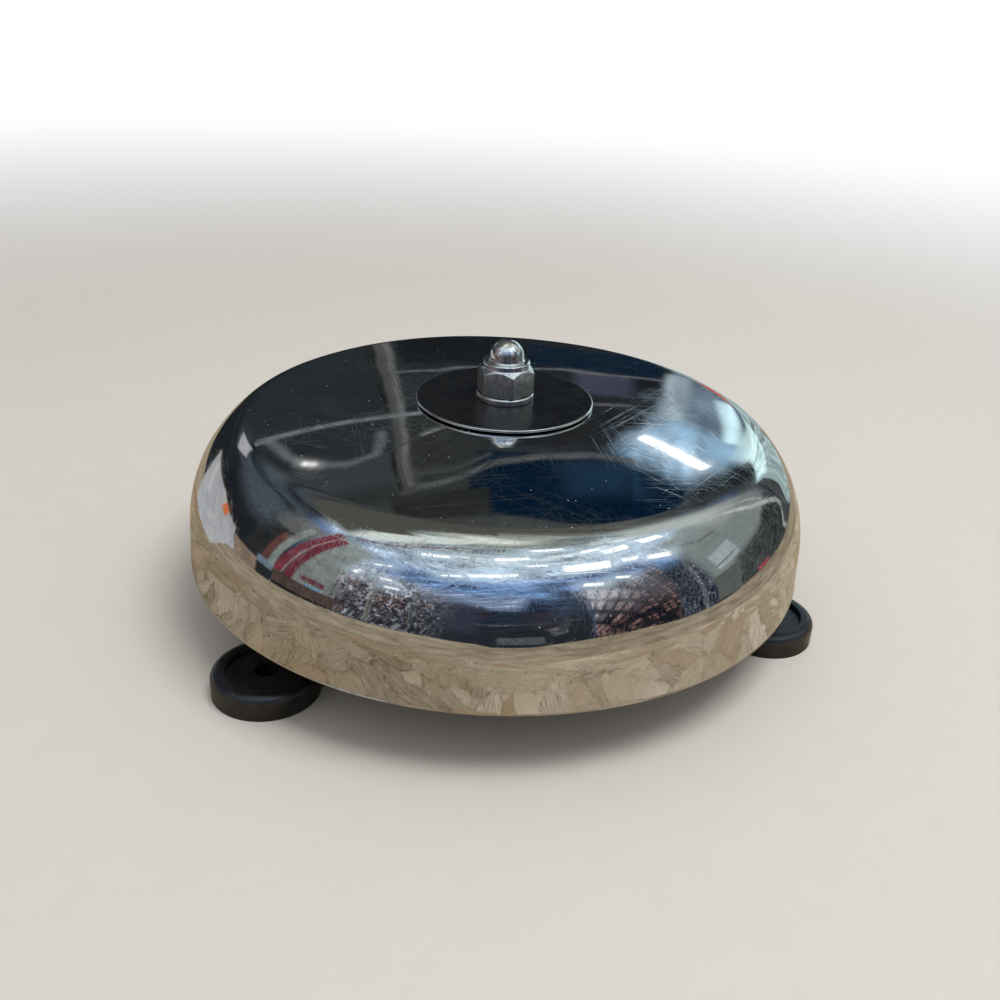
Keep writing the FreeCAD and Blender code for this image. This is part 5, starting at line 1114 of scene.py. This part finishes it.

# %% [markdown]
# ## A strand board under the mirror
# The gong's skirt shows little but what it stands on. A plain floor would leave the skirt empty,
# so a disc of pressed wood strands lies on the floor where only reflections see it. Each strand
# is a cell of a stretched Voronoi pattern, and four such patterns lie over each other at
# different angles. Each cell has three random numbers: how pale the strand is, whether it is
# there, and how warm its brown is. Painted light makes the board paler towards the camera's right.

# %% Strands
strand = Finish("strand_board", (0.5, 0.43, 0.31), 0.85, Specular_IOR_Level=0.1)
tone = strand.noise(0.03, 3.0)
warm = strand.noise(0.02, 2.0)
for degrees, shift in ((24, 0.0), (83, 9.0), (141, 21.0), (55, 33.0)):
    run, cut = math.cos(math.radians(degrees)), math.sin(math.radians(degrees))
    along = strand.x * run + strand.y * cut
    over = strand.y * run - strand.x * cut
    bent = over + (strand.noise(0.05) - 0.5) * 14 + (strand.noise(0.3, 3.0) - 0.5) * 5
    place = strand.vector(along * 0.026 + shift, bent * 0.11, 0.0)
    pick = strand.cells(1.0, place, "Color")
    red, green, blue = (
        strand.node("ShaderNodeSeparateColor", {0: pick}, output=k) for k in range(3)
    )
    border = strand.step(strand.cells(1.0, place, feature="DISTANCE_TO_EDGE"), 0.0, 0.06)
    grain = strand.streaks(along * 0.13, over * 1.7, shift, 4.0, 0.7)
    flake = red * 0.26 + grain * 1.3 - 0.25 - (1 - border) * 0.2
    here = strand.step(green, 0.4, 0.7)
    tone = tone + (flake - tone) * here
    warm = warm + (blue - warm) * here
strand.tell("before it has a colour")

# %% Colour of the board
WOOD = [
    (0.12, (0.11, 0.075, 0.04)),
    (0.36, (0.27, 0.205, 0.125)),
    (0.58, (0.45, 0.37, 0.255)),
    (0.84, (0.74, 0.64, 0.48)),
    (1.0, (0.92, 0.82, 0.65)),
]
# Painted light: the board's colour grows paler towards the camera's right, as if more light fell
# there.
painted_light_side = math.radians(STAND["turn"] - 20)
towards = strand.x * math.cos(painted_light_side) + strand.y * math.sin(painted_light_side)
painted_light = 0.04 + strand.step(towards, -10, 110) * 0.2
wood = strand.node("ShaderNodeValToRGB", {0: tone + painted_light}, stops=WOOD)
tanned = strand.mix(strand.step(warm, 0.5, 0.95) * 0.65, wood, (0.5, 0.34, 0.2))
baked = strand.step(strand.noise(0.016, 3.0), 0.48, 0.66) * 0.42
strand.set("Base Color", strand.mix(baked, tanned, (0.42, 0.29, 0.18)))
strand.emboss(tone, 0.4)
strand.tell("for the board under the bell")


# %% Lay the board down
def only_reflected(thing, material):
    """Shows a thing to mirrors alone: no camera, no light and no shadow meets it."""
    thing.data.materials.append(material)
    bpy.context.scene.collection.objects.link(thing)
    for kind in ("camera", "diffuse", "transmission", "volume_scatter", "shadow"):
        setattr(thing, f"visible_{kind}", False)
    print(f"{thing.name}: {len(thing.data.polygons)} faces that only mirrors see")


BOARD_RADIUS = 165.5
board_outline = np.array([[0.0, 0.1], [40.0, 0.1], [BOARD_RADIUS, 0.1]])
board_mesh = mesh_of("strand_board", [(turned(board_outline, 96), False)])
only_reflected(bpy.data.objects.new("strand_board", board_mesh), strand.material)

# %% [markdown]
# ## What the metal sees
# A mirror has no look of its own, so a studio surrounds it with cards. Here one big tent stands
# round the bell, which only reflections can see. Its colours are worked out for each direction:
# a turn from the camera's side and a rise above the horizon, both in degrees. Masks between 0
# and 1 say where a colour goes, and a cubic change keeps their edges soft.

# %% Directions and soft masks
TENT_STEP = 0.25
tent_turn = np.arange(-180, 180, TENT_STEP)[:, None]
tent_rise = np.arange(-22, 90.1, TENT_STEP)[None, :]
everywhere = np.zeros((tent_turn.size, tent_rise.size))


def smooth(value, low, high):
    """0 below low, 1 above high, and a cubic change between them."""
    share = np.clip((value - low) / (high - low), 0, 1)
    return share * share * (3 - 2 * share)


def between(value, low, high, soft):
    """1 from low to high, with a soft change at both ends."""
    half = soft / 2
    return smooth(value, low - half, low + half) * smooth(-value, -high - half, -high + half)


def across(turn):
    """Degrees from a turn, the short way round, as wide as they look at each rise."""
    return ((tent_turn - turn + 180) % 360 - 180) * np.cos(np.radians(tent_rise))


print(f"the tent has {everywhere.size} directions")

# %% [markdown]
# A card is a soft box in one direction, and a strip is a soft line through several. A card is
# worked out from the distance to its middle, across and up, and a strip from the distance to the
# nearest point of its sides.


# %% Cards and strips
def card(turn, rise, wide, high, soft=1.0, tilt=0.0):
    """A box in direction (turn, rise), turned by tilt, that is 1 inside and soft at its edges."""
    a, b = across(turn), tent_rise - rise
    lean = math.radians(tilt)
    u = a * math.cos(lean) + b * math.sin(lean)
    v = b * math.cos(lean) - a * math.sin(lean)
    inside = smooth(wide / 2 - np.abs(u), -soft / 2, soft / 2)
    return inside * smooth(high / 2 - np.abs(v), -soft / 2, soft / 2)


def strip(route, wide, soft):
    """A strip along (turn, rise) stops: 1 within half its width of the nearest side."""
    nearest = everywhere + 1e9
    for start, end in zip(route, route[1:]):
        a, b = across(start[0]), tent_rise - start[1]
        run = np.array([(end[0] - start[0]) * math.cos(math.radians(start[1])), end[1] - start[1]])
        share = np.clip((a * run[0] + b * run[1]) / (run @ run), 0, 1)
        nearest = np.minimum(nearest, np.hypot(a - share * run[0], b - share * run[1]))
    return 1 - smooth(nearest, wide / 2 - soft / 2, wide / 2 + soft / 2)


covered = card(0, 0, 10, 8).sum() * TENT_STEP**2
print(f"a card of 10 by 8 degrees covers {covered:.1f} square degrees")

# %% [markdown]
# Real things are never even, so many masks are multiplied by chance: a table of random numbers
# is read at whole places, with soft changes between them or as separate boxes with gaps. The
# numbers come from one generator with a fixed start, so every run gives the same tent.


# %% Patterns of chance
TABLE = (97, 89)


def scatter(u, v):
    """A random number between 0 and 1 at whole u and v, with cubic changes between them."""
    table = rng.uniform(0, 1, TABLE)
    u, v = np.broadcast_arrays(u, v)
    low_u, low_v = np.floor(u).astype(int), np.floor(v).astype(int)
    share_u, share_v = smooth(u - low_u, 0, 1), smooth(v - low_v, 0, 1)
    near, beyond = (
        table[low_u % TABLE[0], (low_v + j) % TABLE[1]] * (1 - share_u)
        + table[(low_u + 1) % TABLE[0], (low_v + j) % TABLE[1]] * share_u
        for j in (0, 1)
    )
    return near + (beyond - near) * share_v


def boxes(u, v, gap):
    """A random number for each whole cell of u and v, falling to 0 over a gap at its border."""
    table = rng.uniform(0, 1, TABLE)
    u, v = np.broadcast_arrays(u, v)
    inside = smooth(0.5 - np.abs(u % 1 - 0.5), 0, gap) * smooth(0.5 - np.abs(v % 1 - 0.5), 0, gap)
    pick = table[np.floor(u).astype(int) % TABLE[0], np.floor(v).astype(int) % TABLE[1]]
    return pick * inside


print(f"each pattern repeats after {TABLE[0]} by {TABLE[1]} places")

# %% [markdown]
# Colours are then laid over each other, and each later one covers the earlier ones. Most cards
# and strips have one plain colour, so tables of them are laid in one go.


# %% Laying colours
def level(*stops):
    """Colours by rise alone: straight changes between (rise, colour) stops."""
    rises, colours = zip(*stops)
    parts = [np.interp(tent_rise, rises, channel) for channel in zip(*colours)]
    return everywhere[..., None] + np.stack(parts, axis=-1)


def lay(mask, colour):
    """Puts a colour, or an array of colours, over the tent where the mask is 1."""
    tent[:] += (np.array(colour) - tent) * (mask + everywhere)[..., None]


def shades(share, dark, pale):
    """Colours between dark and pale, which may be arrays of colours themselves."""
    return np.array(dark) + (np.array(pale) - np.array(dark)) * (share + everywhere)[..., None]


def lay_cards(*rows):
    """Lays plain cards in turn, each a (turn, rise, wide, high, soft, tilt, colour)."""
    for *shape, colour in rows:
        lay(card(*shape), colour)


def lay_strips(*rows):
    """Lays plain strips in turn, each a (route, wide, soft, colour)."""
    for *shape, colour in rows:
        lay(strip(*shape), colour)


def field(left, right, low, high, soft, soft_up):
    """1 from one turn to another and one rise to another, with a soft change at each side."""
    return between(tent_turn, left, right, soft) * between(tent_rise, low, high, soft_up)


def flicker(mask, pattern, strength):
    """Makes the tent brighter and darker with a pattern about 0 where the mask is 1."""
    tent[:] *= (1 + mask * pattern * strength)[..., None]


def tell_tent(step):
    """Prints how bright the tent has become."""
    print(f"{step}: mean {tent.mean():.3f}, brightest {tent.max():.2f}")


print("halfway from black to white:", shades(0.5, (0, 0, 0), (1, 1, 1))[0, 0])

# %% [markdown]
# The near side comes first. A workshop is dark low down, blue where daylight meets it, and pale
# at the ceiling. Low shelves with stock give a mirror its sparkle: a random number for each small
# cell of direction is a good stand-in. One number says how pale the cell is and another whether
# it is brown or blue. The brushed light above them is streaks along an arch.

# %% Near side: wall and brushed light
tent = level(
    (-22, (0.02, 0.026, 0.032)), (10, (0.022, 0.03, 0.038)), (20, (0.035, 0.05, 0.08)),
    (27, (0.055, 0.085, 0.15)), (32, (0.1, 0.17, 0.3)), (35, (0.2, 0.36, 0.68)),
    (39, (0.11, 0.18, 0.33)), (43, (0.15, 0.23, 0.4)), (47, (0.42, 0.55, 0.7)),
    (53, (0.34, 0.43, 0.52)), (60, (0.46, 0.55, 0.59)), (68, (0.24, 0.29, 0.31)),
    (78, (0.2, 0.23, 0.22)), (84, (0.5, 0.55, 0.48)), (88, (0.8, 0.86, 0.76)),
)
arched = tent_rise + 0.0042 * across(4) ** 2
brushed = scatter(across(0) / 7 + arched / 6, arched / 1.5)
fine = scatter(across(0) / 1.1, arched / 0.5)
cross = scatter((arched + across(0)) / 0.7, (arched - across(0)) / 3.0)
patch = scatter(across(0) / 8, arched / 2.6)
stroke = (brushed - 0.5) * 1.0 + (fine - 0.5) * 0.9 + (cross - 0.5) * 0.7 + (patch**2 - 0.3) * 1.2
flicker(card(2, 46, 110, 60, 26), np.maximum(stroke, -0.5), 1.0)
lay(card(2, 18, 24, 12, 6) * 0.6, (0.014, 0.026, 0.05))
lay(card(-10, 28.5, 36, 10, 6, -2) * (0.4 + 0.6 * brushed), (0.46, 0.6, 0.88))
lay(card(9, -1.2, 15, 4, 0.8, 2) * (0.3 + 0.7 * cross), (0.13, 0.15, 0.16))
lay(card(21, 5, 5, 6, 2, 20) * (0.4 + 0.6 * fine), (0.2, 0.19, 0.2))
lay(card(10, 11, 34, 1.2, 1.5, 3) * fine, (0.15, 0.17, 0.2))
lay(card(-6, 19, 10, 9, 2, 30) * 0.7, (0.05, 0.035, 0.05))
combed = scatter((arched - 0.3 * across(0)) / 0.8, (arched + across(0)) / 7) - 0.5
flicker(field(-30, 30, 4, 42, 8, 6), combed, 1.1)
lay(card(24, 34, 8, 14, 5, 30) * 0.6, (0.06, 0.08, 0.13))
tell_tent("near wall")

# %% Near side: shelves
fleck = scatter(tent_turn / 0.45, tent_rise / 1.1)
bundle = scatter(tent_turn / 1.7, tent_rise / 3.4)
kind = scatter(tent_turn / 1.2, tent_rise / 1.7)
stock = shades(smooth(kind, 0.35, 0.6), (0.36, 0.25, 0.23), (0.8, 0.84, 0.95))
shown = fleck**2.4 * (0.25 + 1.3 * bundle**1.5) * (0.55 + 1.5 * smooth(tent_rise, 6, 32))
goods = shades(np.minimum(shown * 1.7, 1), (0.02, 0.023, 0.035), stock)
lay(card(-13, 15, 16, 24, 8) * 0.8, (0.045, 0.055, 0.085))
lay(card(16, 14, 9, 13, 4, 20) * 0.7, (0.045, 0.042, 0.055))
lay(card(23.5, 9, 3, 11, 1.5, -15), (0.06, 0.07, 0.075))
sloping = tent_rise + 0.3 * (tent_turn + 40)
left_shelves = between(tent_turn, -58, -14, 5) * between(sloping, -8, 36, 10)
lay(left_shelves * (0.95 - 0.75 * smooth(tent_turn, -34, -14)), goods)
for turn, rise, high, colour in [
    (-57, 12, 34, (0.3, 0.3, 0.29)),
    (-54.6, 14, 36, (0.36, 0.37, 0.37)),
    (-42.6, 14, 30, (0.3, 0.31, 0.28)),
    (-41.4, 12, 26, (0.2, 0.21, 0.2)),
    (-28, 15, 28, (0.13, 0.15, 0.14)),
    (-26.8, 15, 24, (0.1, 0.12, 0.12)),
]:
    lay(card(turn, rise, 0.7, high, 0.6) * 0.8, colour)
tell_tent("left shelves")

# %% [markdown]
# On the right, the goods lie in rows that fan out from one point, so their boxes follow a reach
# from that point and an angle round it. Beyond them, boxes are stacked on a slant.

# %% Near side: fan of goods
fan_turn = np.degrees(np.arctan2(tent_rise + 16, tent_turn - 24))
fan_reach = np.hypot(tent_rise + 16, tent_turn - 24)
rows = boxes(fan_reach / 8.5, fan_turn / 5.6, 0.3)
stacks = boxes((tent_turn + 0.2 * tent_rise) / 2.6, (tent_rise - 0.12 * tent_turn) / 2.3, 0.3)
bits = np.where(tent_turn < 53, rows, stacks) ** 1.7 * (0.45 + fleck * 0.9)
pale = smooth(tent_rise + (50 - tent_turn) * 0.9, 10, 34) * (0.35 + 0.65 * kind)
packed = shades(pale, (0.3, 0.17, 0.15), (0.85, 0.84, 0.92))
right_shelves = field(33, 66, -8, 36, 2, 7)
lay(right_shelves, shades(np.minimum(bits * 1.6, 1), (0.01, 0.012, 0.02), packed))
lay(right_shelves * smooth(tent_rise, 6, 26) * (0.2 + 0.3 * bundle), (0.3, 0.31, 0.36))
lay(card(33.4, 12, 0.9, 24, 0.5), (0.05, 0.09, 0.18))
lay(card(39, 29, 12, 13, 8, 20) * fleck**1.5 * 0.9, (0.85, 0.9, 1.0))
sparse = fleck**3.5 * 0.9 + between(tent_turn, 74.5, 76.5, 0.6) * 0.35
dark_shelves = shades(sparse, (0.012, 0.02, 0.042), (0.3, 0.33, 0.36))
lay(field(65.5, 81.5, -8, 29, 1, 5), dark_shelves)
tell_tent("right shelves")

# %% [markdown]
# At the sides a mirror shows larger things: walls, uprights, red and white stripes, pale tins
# and a bright doorway. Plain cards are enough, with a slow sheen over them.

# %% Near side: cards to the left
lay_cards(
    (-124, 34, 50, 38, 10, 0, (0.034, 0.044, 0.056)),
    (-118, 13, 44, 24, 7, 0, (0.016, 0.02, 0.025)),
    (-90, 12, 14, 36, 4, 0, (0.028, 0.03, 0.032)),
    (-88.5, 34, 18, 12, 3, 12, (0.15, 0.155, 0.155)),
    (-86, 14, 3.2, 24, 1.0, 0, (0.14, 0.065, 0.06)),
    (-82.6, 20, 3.2, 36, 1.0, 0, (0.26, 0.29, 0.27)),
    (-66, 24, 18, 44, 4, 0, (0.26, 0.3, 0.29)),
    (-77.3, 24, 3.2, 44, 0.8, -6, (0.21, 0.045, 0.065)),
    (-72.6, 22, 3.8, 44, 0.8, -5, (0.17, 0.035, 0.055)),
    (-75.1, 24, 0.6, 44, 0.6, -6, (0.42, 0.26, 0.27)),
    (-64, 8.6, 10, 3.6, 0.8, 0, (0.17, 0.055, 0.07)),
    (-63, 4.6, 7, 2.2, 0.6, 2, (0.2, 0.42, 0.6)),
    (-85, 2.6, 8, 4, 1.0, 0, (0.18, 0.24, 0.3)),
    (-67, 1.0, 27, 6.0, 0.5, 1, (0.085, 0.06, 0.05)),
    (-67, -1.4, 27, 1.5, 0.5, 0, (0.014, 0.014, 0.015)),
    (-97.5, -1.6, 17, 6.6, 0.5, -1, (0.25, 0.19, 0.145)),
    (-142.5, 21, 12, 8, 1.5, -16, (0.5, 0.5, 0.53)),
)
sheen = scatter(tent_turn / 1.2, tent_rise / 1.2) * 0.5
sheen = sheen + scatter(tent_turn / 5, tent_rise / 4) * 0.5
flicker(between(tent_turn, -150, -56, 8), sheen - 0.5, 0.7)
tell_tent("left cards")

# %% Near side: cards to the right
lay_cards(
    (104, 26, 46, 40, 6, 0, (0.26, 0.3, 0.3)),
    (117, 46, 22, 34, 8, 0, (0.42, 0.47, 0.45)),
    (92, 17, 13, 11, 1.5, 0, (0.44, 0.52, 0.55)),
    (91, 14.6, 12, 0.8, 0.8, 4, (0.12, 0.13, 0.13)),
    (112, 3, 34, 16, 4, 0, (0.045, 0.05, 0.05)),
    (122, 6, 12, 14, 3, 8, (0.025, 0.028, 0.03)),
    (88, 2.5, 13, 13, 0.8, 0, (0.13, 0.145, 0.135)),
    (140, 10, 18, 40, 5, 0, (0.15, 0.16, 0.16)),
    (109.5, -2.6, 8, 3.0, 0.8, 0, (0.42, 0.06, 0.075)),
)
slope = [(110, 36), (114, 28), (119, 18), (124, 11), (128.5, 4), (130.5, -4)]
lay_strips(
    (slope, 1.8, 0.8, (0.6, 0.63, 0.62)),
    ([(118, 36), (120.5, 24), (124, 14)], 0.9, 0.8, (0.5, 0.53, 0.52)),
)
lay(strip([(84, 38), (92, 33), (100, 31)], 1.2, 1.0) * 0.6, (0.1, 0.11, 0.12))
clutter = scatter(tent_turn / 0.7, tent_rise / 0.9) ** 3
lay(field(94, 128, -5, 14, 2, 4) * clutter * 0.3, (0.4, 0.44, 0.44))
tell_tent("right cards")

# %% [markdown]
# Rows of tube lamps hang under the pale ceiling. Each is a small bright card with a wider, faint
# bluish card round it, which stands for its glow.

# %% Near side: ceiling and tube lamps
gable = smooth(tent_rise + 0.62 * np.abs(tent_turn + 30) - 76, -1.5, 1.5)
over_left = gable * smooth(-tent_turn, 26, 36) * smooth(tent_turn, -112, -84)
lay(over_left * smooth(tent_rise, 46, 50), (0.62, 0.68, 0.65))
lay(strip([(-70, 49), (-52, 58), (-32, 68)], 1.6, 1.2) * 0.8, (0.14, 0.07, 0.09))
for turn, rise, wide, high, tilt in [
    (-32, 58.2, 8, 1.6, 20), (9, 62, 9, 2.2, 4), (35, 68, 9, 2.4, -10), (-1, 48.6, 14, 2.0, 9),
    (43, 49.5, 15, 5.2, -15), (66, 55, 8, 3.4, -18), (85, 51.5, 7, 5, -28), (73, 40, 8, 3.0, -36),
    (39, 36, 7, 2.2, -18), (-41, 31, 4, 1.4, 16), (-52, 30, 2, 4, -30), (-37, 26, 5, 1.2, 8),
    (-47, 40, 6, 0.8, 30), (-18, 45.5, 6, 0.9, 20), (20, 56, 6, 1.0, -6), (56, 60, 6, 1.4, -16),
    (63, 46, 5, 2.4, -30), (52, 36, 5, 1.6, -30),
]:
    lay(card(turn, rise, wide + 7, high + 5, 6, tilt) * 0.5, (0.6, 0.78, 0.94))
    lay(card(turn, rise, wide, high, 0.8, tilt) * (0.75 + 0.25 * fine), (1.55, 1.6, 1.62))
flicker(smooth(tent_rise, 30, 44), 1, 0.36)
tell_tent("ceiling and lamps")

# %% [markdown]
# The flat crown mirrors only a small part of the far side, much enlarged, so that part gets
# narrow cards: dark cloth, a few thin beams, and one pale window with a lamp in front of it.

# %% Far side: wall
far = smooth(np.abs(tent_turn) + everywhere, 118, 146)
arcs = scatter(tent_turn / 50, (tent_rise + 0.12 * np.abs(tent_turn)) / 3.2)
walls = level(
    (-22, (0.014, 0.016, 0.018)), (10, (0.014, 0.018, 0.022)), (20, (0.022, 0.028, 0.032)),
    (34, (0.03, 0.036, 0.04)), (42, (0.05, 0.055, 0.055)), (50, (0.075, 0.08, 0.075)),
    (64, (0.12, 0.125, 0.11)), (76, (0.34, 0.37, 0.34)), (88, (0.8, 0.86, 0.76)),
)
lay(far, walls * (0.7 + 1.05 * arcs)[..., None])
draped = shades(arcs * (0.6 + 0.8 * fleck), (0.016, 0.024, 0.032), (0.1, 0.125, 0.15))
lay(field(-150, -96, 18, 50, 16, 10), draped)
lay(smooth(-tent_turn, 72, 80) * between(tent_rise, 48, 73, 5), (0.1, 0.1, 0.085))
tell_tent("far wall")

# %% Far side: cloth, window and beams
lay_cards(
    (-142.5, 21, 12, 8, 1.5, -16, (0.5, 0.5, 0.53)),
    (-164, 18, 12, 26, 2, 0, (0.024, 0.031, 0.037)),
    (185.5, 29.5, 7.4, 12, 0.6, 0, (0.032, 0.036, 0.035)),
    (174.5, 24, 12, 12, 1.5, 0, (0.02, 0.022, 0.024)),
    (172.5, 36.2, 17.5, 10.4, 0.6, 0, (0.002, 0.013, 0.032)),
    (170, 33.6, 7, 5.4, 2.5, 18, (0.014, 0.04, 0.08)),
    (186, 39.6, 8, 4.2, 0.6, 0, (0.026, 0.028, 0.027)),
    (152, 5, 32, 36, 1.0, 12, (0.4, 0.53, 0.54)),
    (150.5, 16.8, 29, 12, 2.5, 12, (0.85, 1.15, 1.2)),
    (164.4, 18, 7.0, 20, 0.6, 0, (0.17, 0.245, 0.31)),
    (167, 15, 1.8, 12, 1.0, 4, (0.4, 0.5, 0.56)),
    (164.6, 25.8, 6.8, 8.5, 3.0, -20, (0.36, 0.6, 0.84)),
    (162.3, 17.4, 1.5, 10, 0.7, 14, (0.75, 1.05, 1.15)),
    (163.6, 5.5, 3.4, 10, 0.8, 4, (0.62, 0.13, 0.09)),
    (156, 3, 1.4, 18, 0.8, 0, (0.2, 0.24, 0.26)),
    (151, 2, 1.4, 18, 0.8, 0, (0.22, 0.27, 0.28)),
    (172.5, 15, 4.2, 6.4, 1.2, 6, (0.06, 0.066, 0.1)),
    (173.6, 9, 9.5, 7, 0.8, 0, (0.006, 0.017, 0.034)),
    (184, 8, 9.5, 8.6, 0.8, 0, (0.012, 0.015, 0.018)),
)
long_beam = [
    (168, 29.6), (172, 30.4), (177, 31.8), (181, 33.4), (184, 35.2), (187, 36.2), (189.4, 36.4)
]
loop = [(190.6, 28), (191.4, 31), (194, 31.8), (197, 31), (199, 29.2), (200, 26)]
lay_strips(
    (long_beam, 0.9, 0.5, (0.12, 0.13, 0.13)),
    ([(181, 31.6), (185, 33.8), (188, 34.4)], 0.5, 0.5, (0.08, 0.09, 0.09)),
    ([(189.3, 36.6), (189.0, 25), (188.8, 4)], 1.5, 0.4, (0.085, 0.09, 0.086)),
    ([(188.9, 36), (188.5, 25), (188.4, 4)], 0.4, 0.3, (0.17, 0.18, 0.175)),
    ([(189.9, 36.6), (189.7, 25), (189.5, 4)], 0.4, 0.25, (0.015, 0.017, 0.018)),
    (loop, 0.8, 0.7, (0.15, 0.17, 0.18)),
    ([(186.4, 24), (193, 24.6), (200, 25.2), (206, 26)], 1.1, 0.8, (0.22, 0.25, 0.27)),
    ([(170, 19.6), (174, 20.8)], 0.5, 0.4, (0.15, 0.16, 0.17)),
    ([(168.6, 11.8), (174, 12.9), (180, 13.6), (188, 14.8)], 0.6, 0.4, (0.15, 0.16, 0.17)),
    ([(184.8, 26.8), (187, 28.2)], 0.6, 0.4, (0.26, 0.27, 0.28)),
)
lay(card(165, 26.6, 7.6, 2.8, 2.6, -25) * 0.6, (0.7, 0.9, 1.1))
lay(card(164.9, 26.5, 6.2, 1.1, 0.25, -25), (3.2, 3.3, 3.4))
lay(card(197.6, 30.5, 2.4, 1.1, 0.9, -28) * 0.5, (0.5, 0.5, 0.5))
lay(card(197.6, 30.5, 1.2, 0.4, 0.25, -28), (2.2, 2.2, 2.2))
veil = scatter(tent_turn / 0.8 + tent_rise / 4, tent_rise / 5) - 0.5
flicker(between(tent_turn, 138, 168.5, 1), veil, 0.9)
tell_tent("far side")

# %% [markdown]
# Last comes what lies low: the strand board, whose far edge wanders a little, so a short table
# of turn and rise gives it, and a sheet of paper on the left. A soft flicker over everything
# keeps the plain cards from looking painted.

# %% Paper and the board's far edge
paper_top = np.interp(tent_turn, [-138, -119, -103], [1.5, 7.0, 4.0])
paper_foot = np.interp(tent_turn, [-138, -121, -107.5, -103], [-22, -20, -5, -3.5])
edge = [
    (-180, -7), (-140, -7), (-128, -18), (-120, -17), (-107, -4.5), (-60, -3), (-20, -2.5),
    (-6, -4), (0, -6.5), (12, -6), (22, -3.5), (34, -2), (50, -2), (64, -4.5), (80, -5.5),
    (100, -4), (130, -5.5), (145, -7), (180, -7),
]
board_edge = np.interp(tent_turn, *zip(*edge))
chips = scatter(tent_turn / 5 + tent_rise / 7, tent_rise / 2.2 - tent_turn / 30) * 0.6
chips = chips + fine * 0.15 + cross * 0.25
chipped = shades(chips, (0.2, 0.15, 0.095), (0.5, 0.43, 0.32))
lay(smooth(board_edge - tent_rise, -0.15, 0.35), chipped)
paper = between(tent_turn, -138, -103, 1) * smooth(paper_top - tent_rise, -0.3, 0.3)
paper = paper * smooth(tent_rise - paper_foot, -0.3, 0.3)
creases = scatter(tent_turn / 3, tent_rise / 3.6) * 0.7
lay(paper, shades(creases, (0.56, 0.57, 0.58), (0.36, 0.38, 0.42)))
lay(card(-113, 3.6, 4.4, 4.2, 0.5, -8), (0.75, 0.2, 0.07))
lay(strip([(-138, 1.8), (-119, 7.3), (-103, 4.3)], 0.7, 0.5), (0.1, 0.075, 0.05))
flicker(1, scatter(tent_turn / 2.2, tent_rise / 1.6) - 0.5, 0.2)
tell_tent("whole tent")

# %% [markdown]
# The tent is one turned surface. Its dome is far away, so a direction is all that matters there.
# Below the horizon comes a low card that stands upright near the edge of the board. It is so
# near that a reflected ray meets it sooner than its direction says, so its turns are drawn
# together. The colours are stored at the mesh's points, and the material shines with them.

# %% Stand the tent round the bell
TENT_RADIUS, CARD_RADIUS, CARD_HEIGHT, CARD_RISE = 20000.0, 165.0, 30.0, 85.0
LOWEST, DRAWN_IN = -19.4, 0.77
FACING = math.radians(STAND["turn"] - 90)


def stand_tent():
    """One turned surface: a low card upright on the floor, a brim, and the dome on its edge.

    The low card's height is CARD_HEIGHT plus CARD_RISE times the tangent of the rise, and the
    dome's place is TENT_RADIUS times the cosine and the sine of the rise.
    """
    rises = np.radians(tent_rise[0])
    foot, dome = (tent_rise[0] >= LOWEST) & (tent_rise[0] <= 0), tent_rise[0] >= 0
    far_out, far_up = TENT_RADIUS * np.cos(rises[dome]), TENT_RADIUS * np.sin(rises[dome])
    radius = np.concatenate([np.full(foot.sum(), CARD_RADIUS), far_out])
    height = CARD_HEIGHT + np.concatenate([CARD_RISE * np.tan(rises[foot]), far_up])
    shape = (tent_turn.size, radius.size)
    drawn = DRAWN_IN + (1 - DRAWN_IN) * smooth(np.abs(tent_turn), 120, 180)
    pulled = np.where(np.arange(radius.size) < foot.sum(), drawn, 1.0)
    bearing = FACING + np.radians(tent_turn * pulled)
    grid = around(np.broadcast_to(radius, shape), height, bearing, "Z", (0, 0, 0))
    number = np.arange(grid.size // 3).reshape(shape)
    beside = np.roll(number, -1, axis=0)
    corners = (number[:, :-1], beside[:, :-1], beside[:, 1:], number[:, 1:])
    mesh = bpy.data.meshes.new("tent")
    faces = np.stack(corners, axis=-1).reshape(-1, 4)
    mesh.from_pydata((grid.reshape(-1, 3) * MM).tolist(), [], faces.tolist())
    paint = mesh.attributes.new("cards", "FLOAT_COLOR", "POINT")
    colours = np.concatenate([tent[:, foot], tent[:, dome]], axis=1)
    opaque = np.concatenate([colours, np.ones((*shape, 1))], axis=-1)
    paint.data.foreach_set("color", opaque.astype(np.float32).ravel())
    return mesh


cloth = Finish("tent_cloth", (0, 0, 0), 1.0, Specular_IOR_Level=0.0, Emission_Strength=1.08)
cloth.set("Emission Color", cloth.node("ShaderNodeVertexColor", layer_name="cards"))
cloth.material.cycles.emission_sampling = "NONE"
only_reflected(bpy.data.objects.new("tent", stand_tent()), cloth.material)

# %% [markdown] ## Finish the scene Colours are shown as they are, without a film curve.

# %% Show colours without a film curve
bpy.context.scene.view_settings.view_transform = "Standard"
